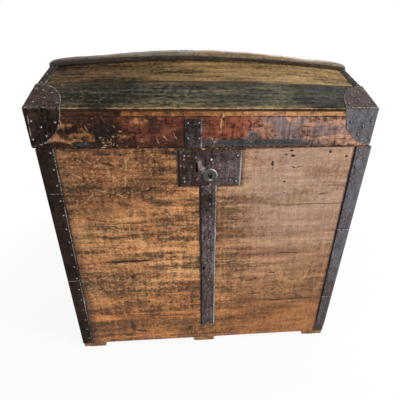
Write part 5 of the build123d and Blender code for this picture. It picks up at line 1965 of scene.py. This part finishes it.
class TRUNK_OT_nails(bpy.types.Operator):
    """Finish the nails of the body and of the lid"""

    bl_idname = "trunk.nails"
    bl_label = "Nails"

    def execute(self, context):
        make_nails()
        return {"FINISHED"}


class TRUNK_OT_lid_boards(bpy.types.Operator):
    """Make the stained front, back and end boards of the lid"""

    bl_idname = "trunk.lid_boards"
    bl_label = "Lid boards"

    def execute(self, context):
        make_lid_boards()
        return {"FINISHED"}


class TRUNK_OT_lid_cover(bpy.types.Operator):
    """Make the staves, the panels and the ridge slat of the lid"""

    bl_idname = "trunk.lid_cover"
    bl_label = "Lid cover"

    def execute(self, context):
        make_lid_cover()
        return {"FINISHED"}


class TRUNK_OT_lid_irons(bpy.types.Operator):
    """Make the folded corner irons and end bands of the lid"""

    bl_idname = "trunk.lid_irons"
    bl_label = "Lid irons"

    def execute(self, context):
        make_lid_irons()
        return {"FINISHED"}


class TRUNK_OT_stage(bpy.types.Operator):
    """Set up the floor, the world, the lamps and the camera"""

    bl_idname = "trunk.stage"
    bl_label = "Stage"

    def execute(self, context):
        make_stage()
        return {"FINISHED"}


steps = (
    TRUNK_OT_front_boards,
    TRUNK_OT_wall_boards,
    TRUNK_OT_bottom,
    TRUNK_OT_body_irons,
    TRUNK_OT_lock,
    TRUNK_OT_fittings,
    TRUNK_OT_nails,
    TRUNK_OT_lid_boards,
    TRUNK_OT_lid_cover,
    TRUNK_OT_lid_irons,
    TRUNK_OT_stage,
)


class TRUNK_PT_panel(bpy.types.Panel):
    """Sizes, colours and steps of the trunk"""

    bl_idname = "TRUNK_PT_panel"
    bl_label = "Pine travel trunk"
    bl_space_type = "VIEW_3D"
    bl_region_type = "UI"
    bl_category = "Trunk"

    def draw(self, context):
        layout = self.layout
        for group in (context.scene.trunk_sizes, context.scene.trunk_colours):
            column = layout.column(align=True)
            for name in group.__annotations__:
                column.prop(group, name)
        for step in steps:
            layout.operator(step.bl_idname)


classes = (TrunkSizes, TrunkColours, *steps, TRUNK_PT_panel)


def register():
    for item in classes:
        bpy.utils.register_class(item)
    bpy.types.Scene.trunk_sizes = bpy.props.PointerProperty(type=TrunkSizes)
    bpy.types.Scene.trunk_colours = bpy.props.PointerProperty(type=TrunkColours)


def unregister():
    del bpy.types.Scene.trunk_colours
    del bpy.types.Scene.trunk_sizes
    for item in reversed(classes):
        bpy.utils.unregister_class(item)


def main():
    register()
    for step in steps:
        area, name = step.bl_idname.split(".")
        getattr(getattr(bpy.ops, area), name)()


if __name__ == "__main__":
    main()
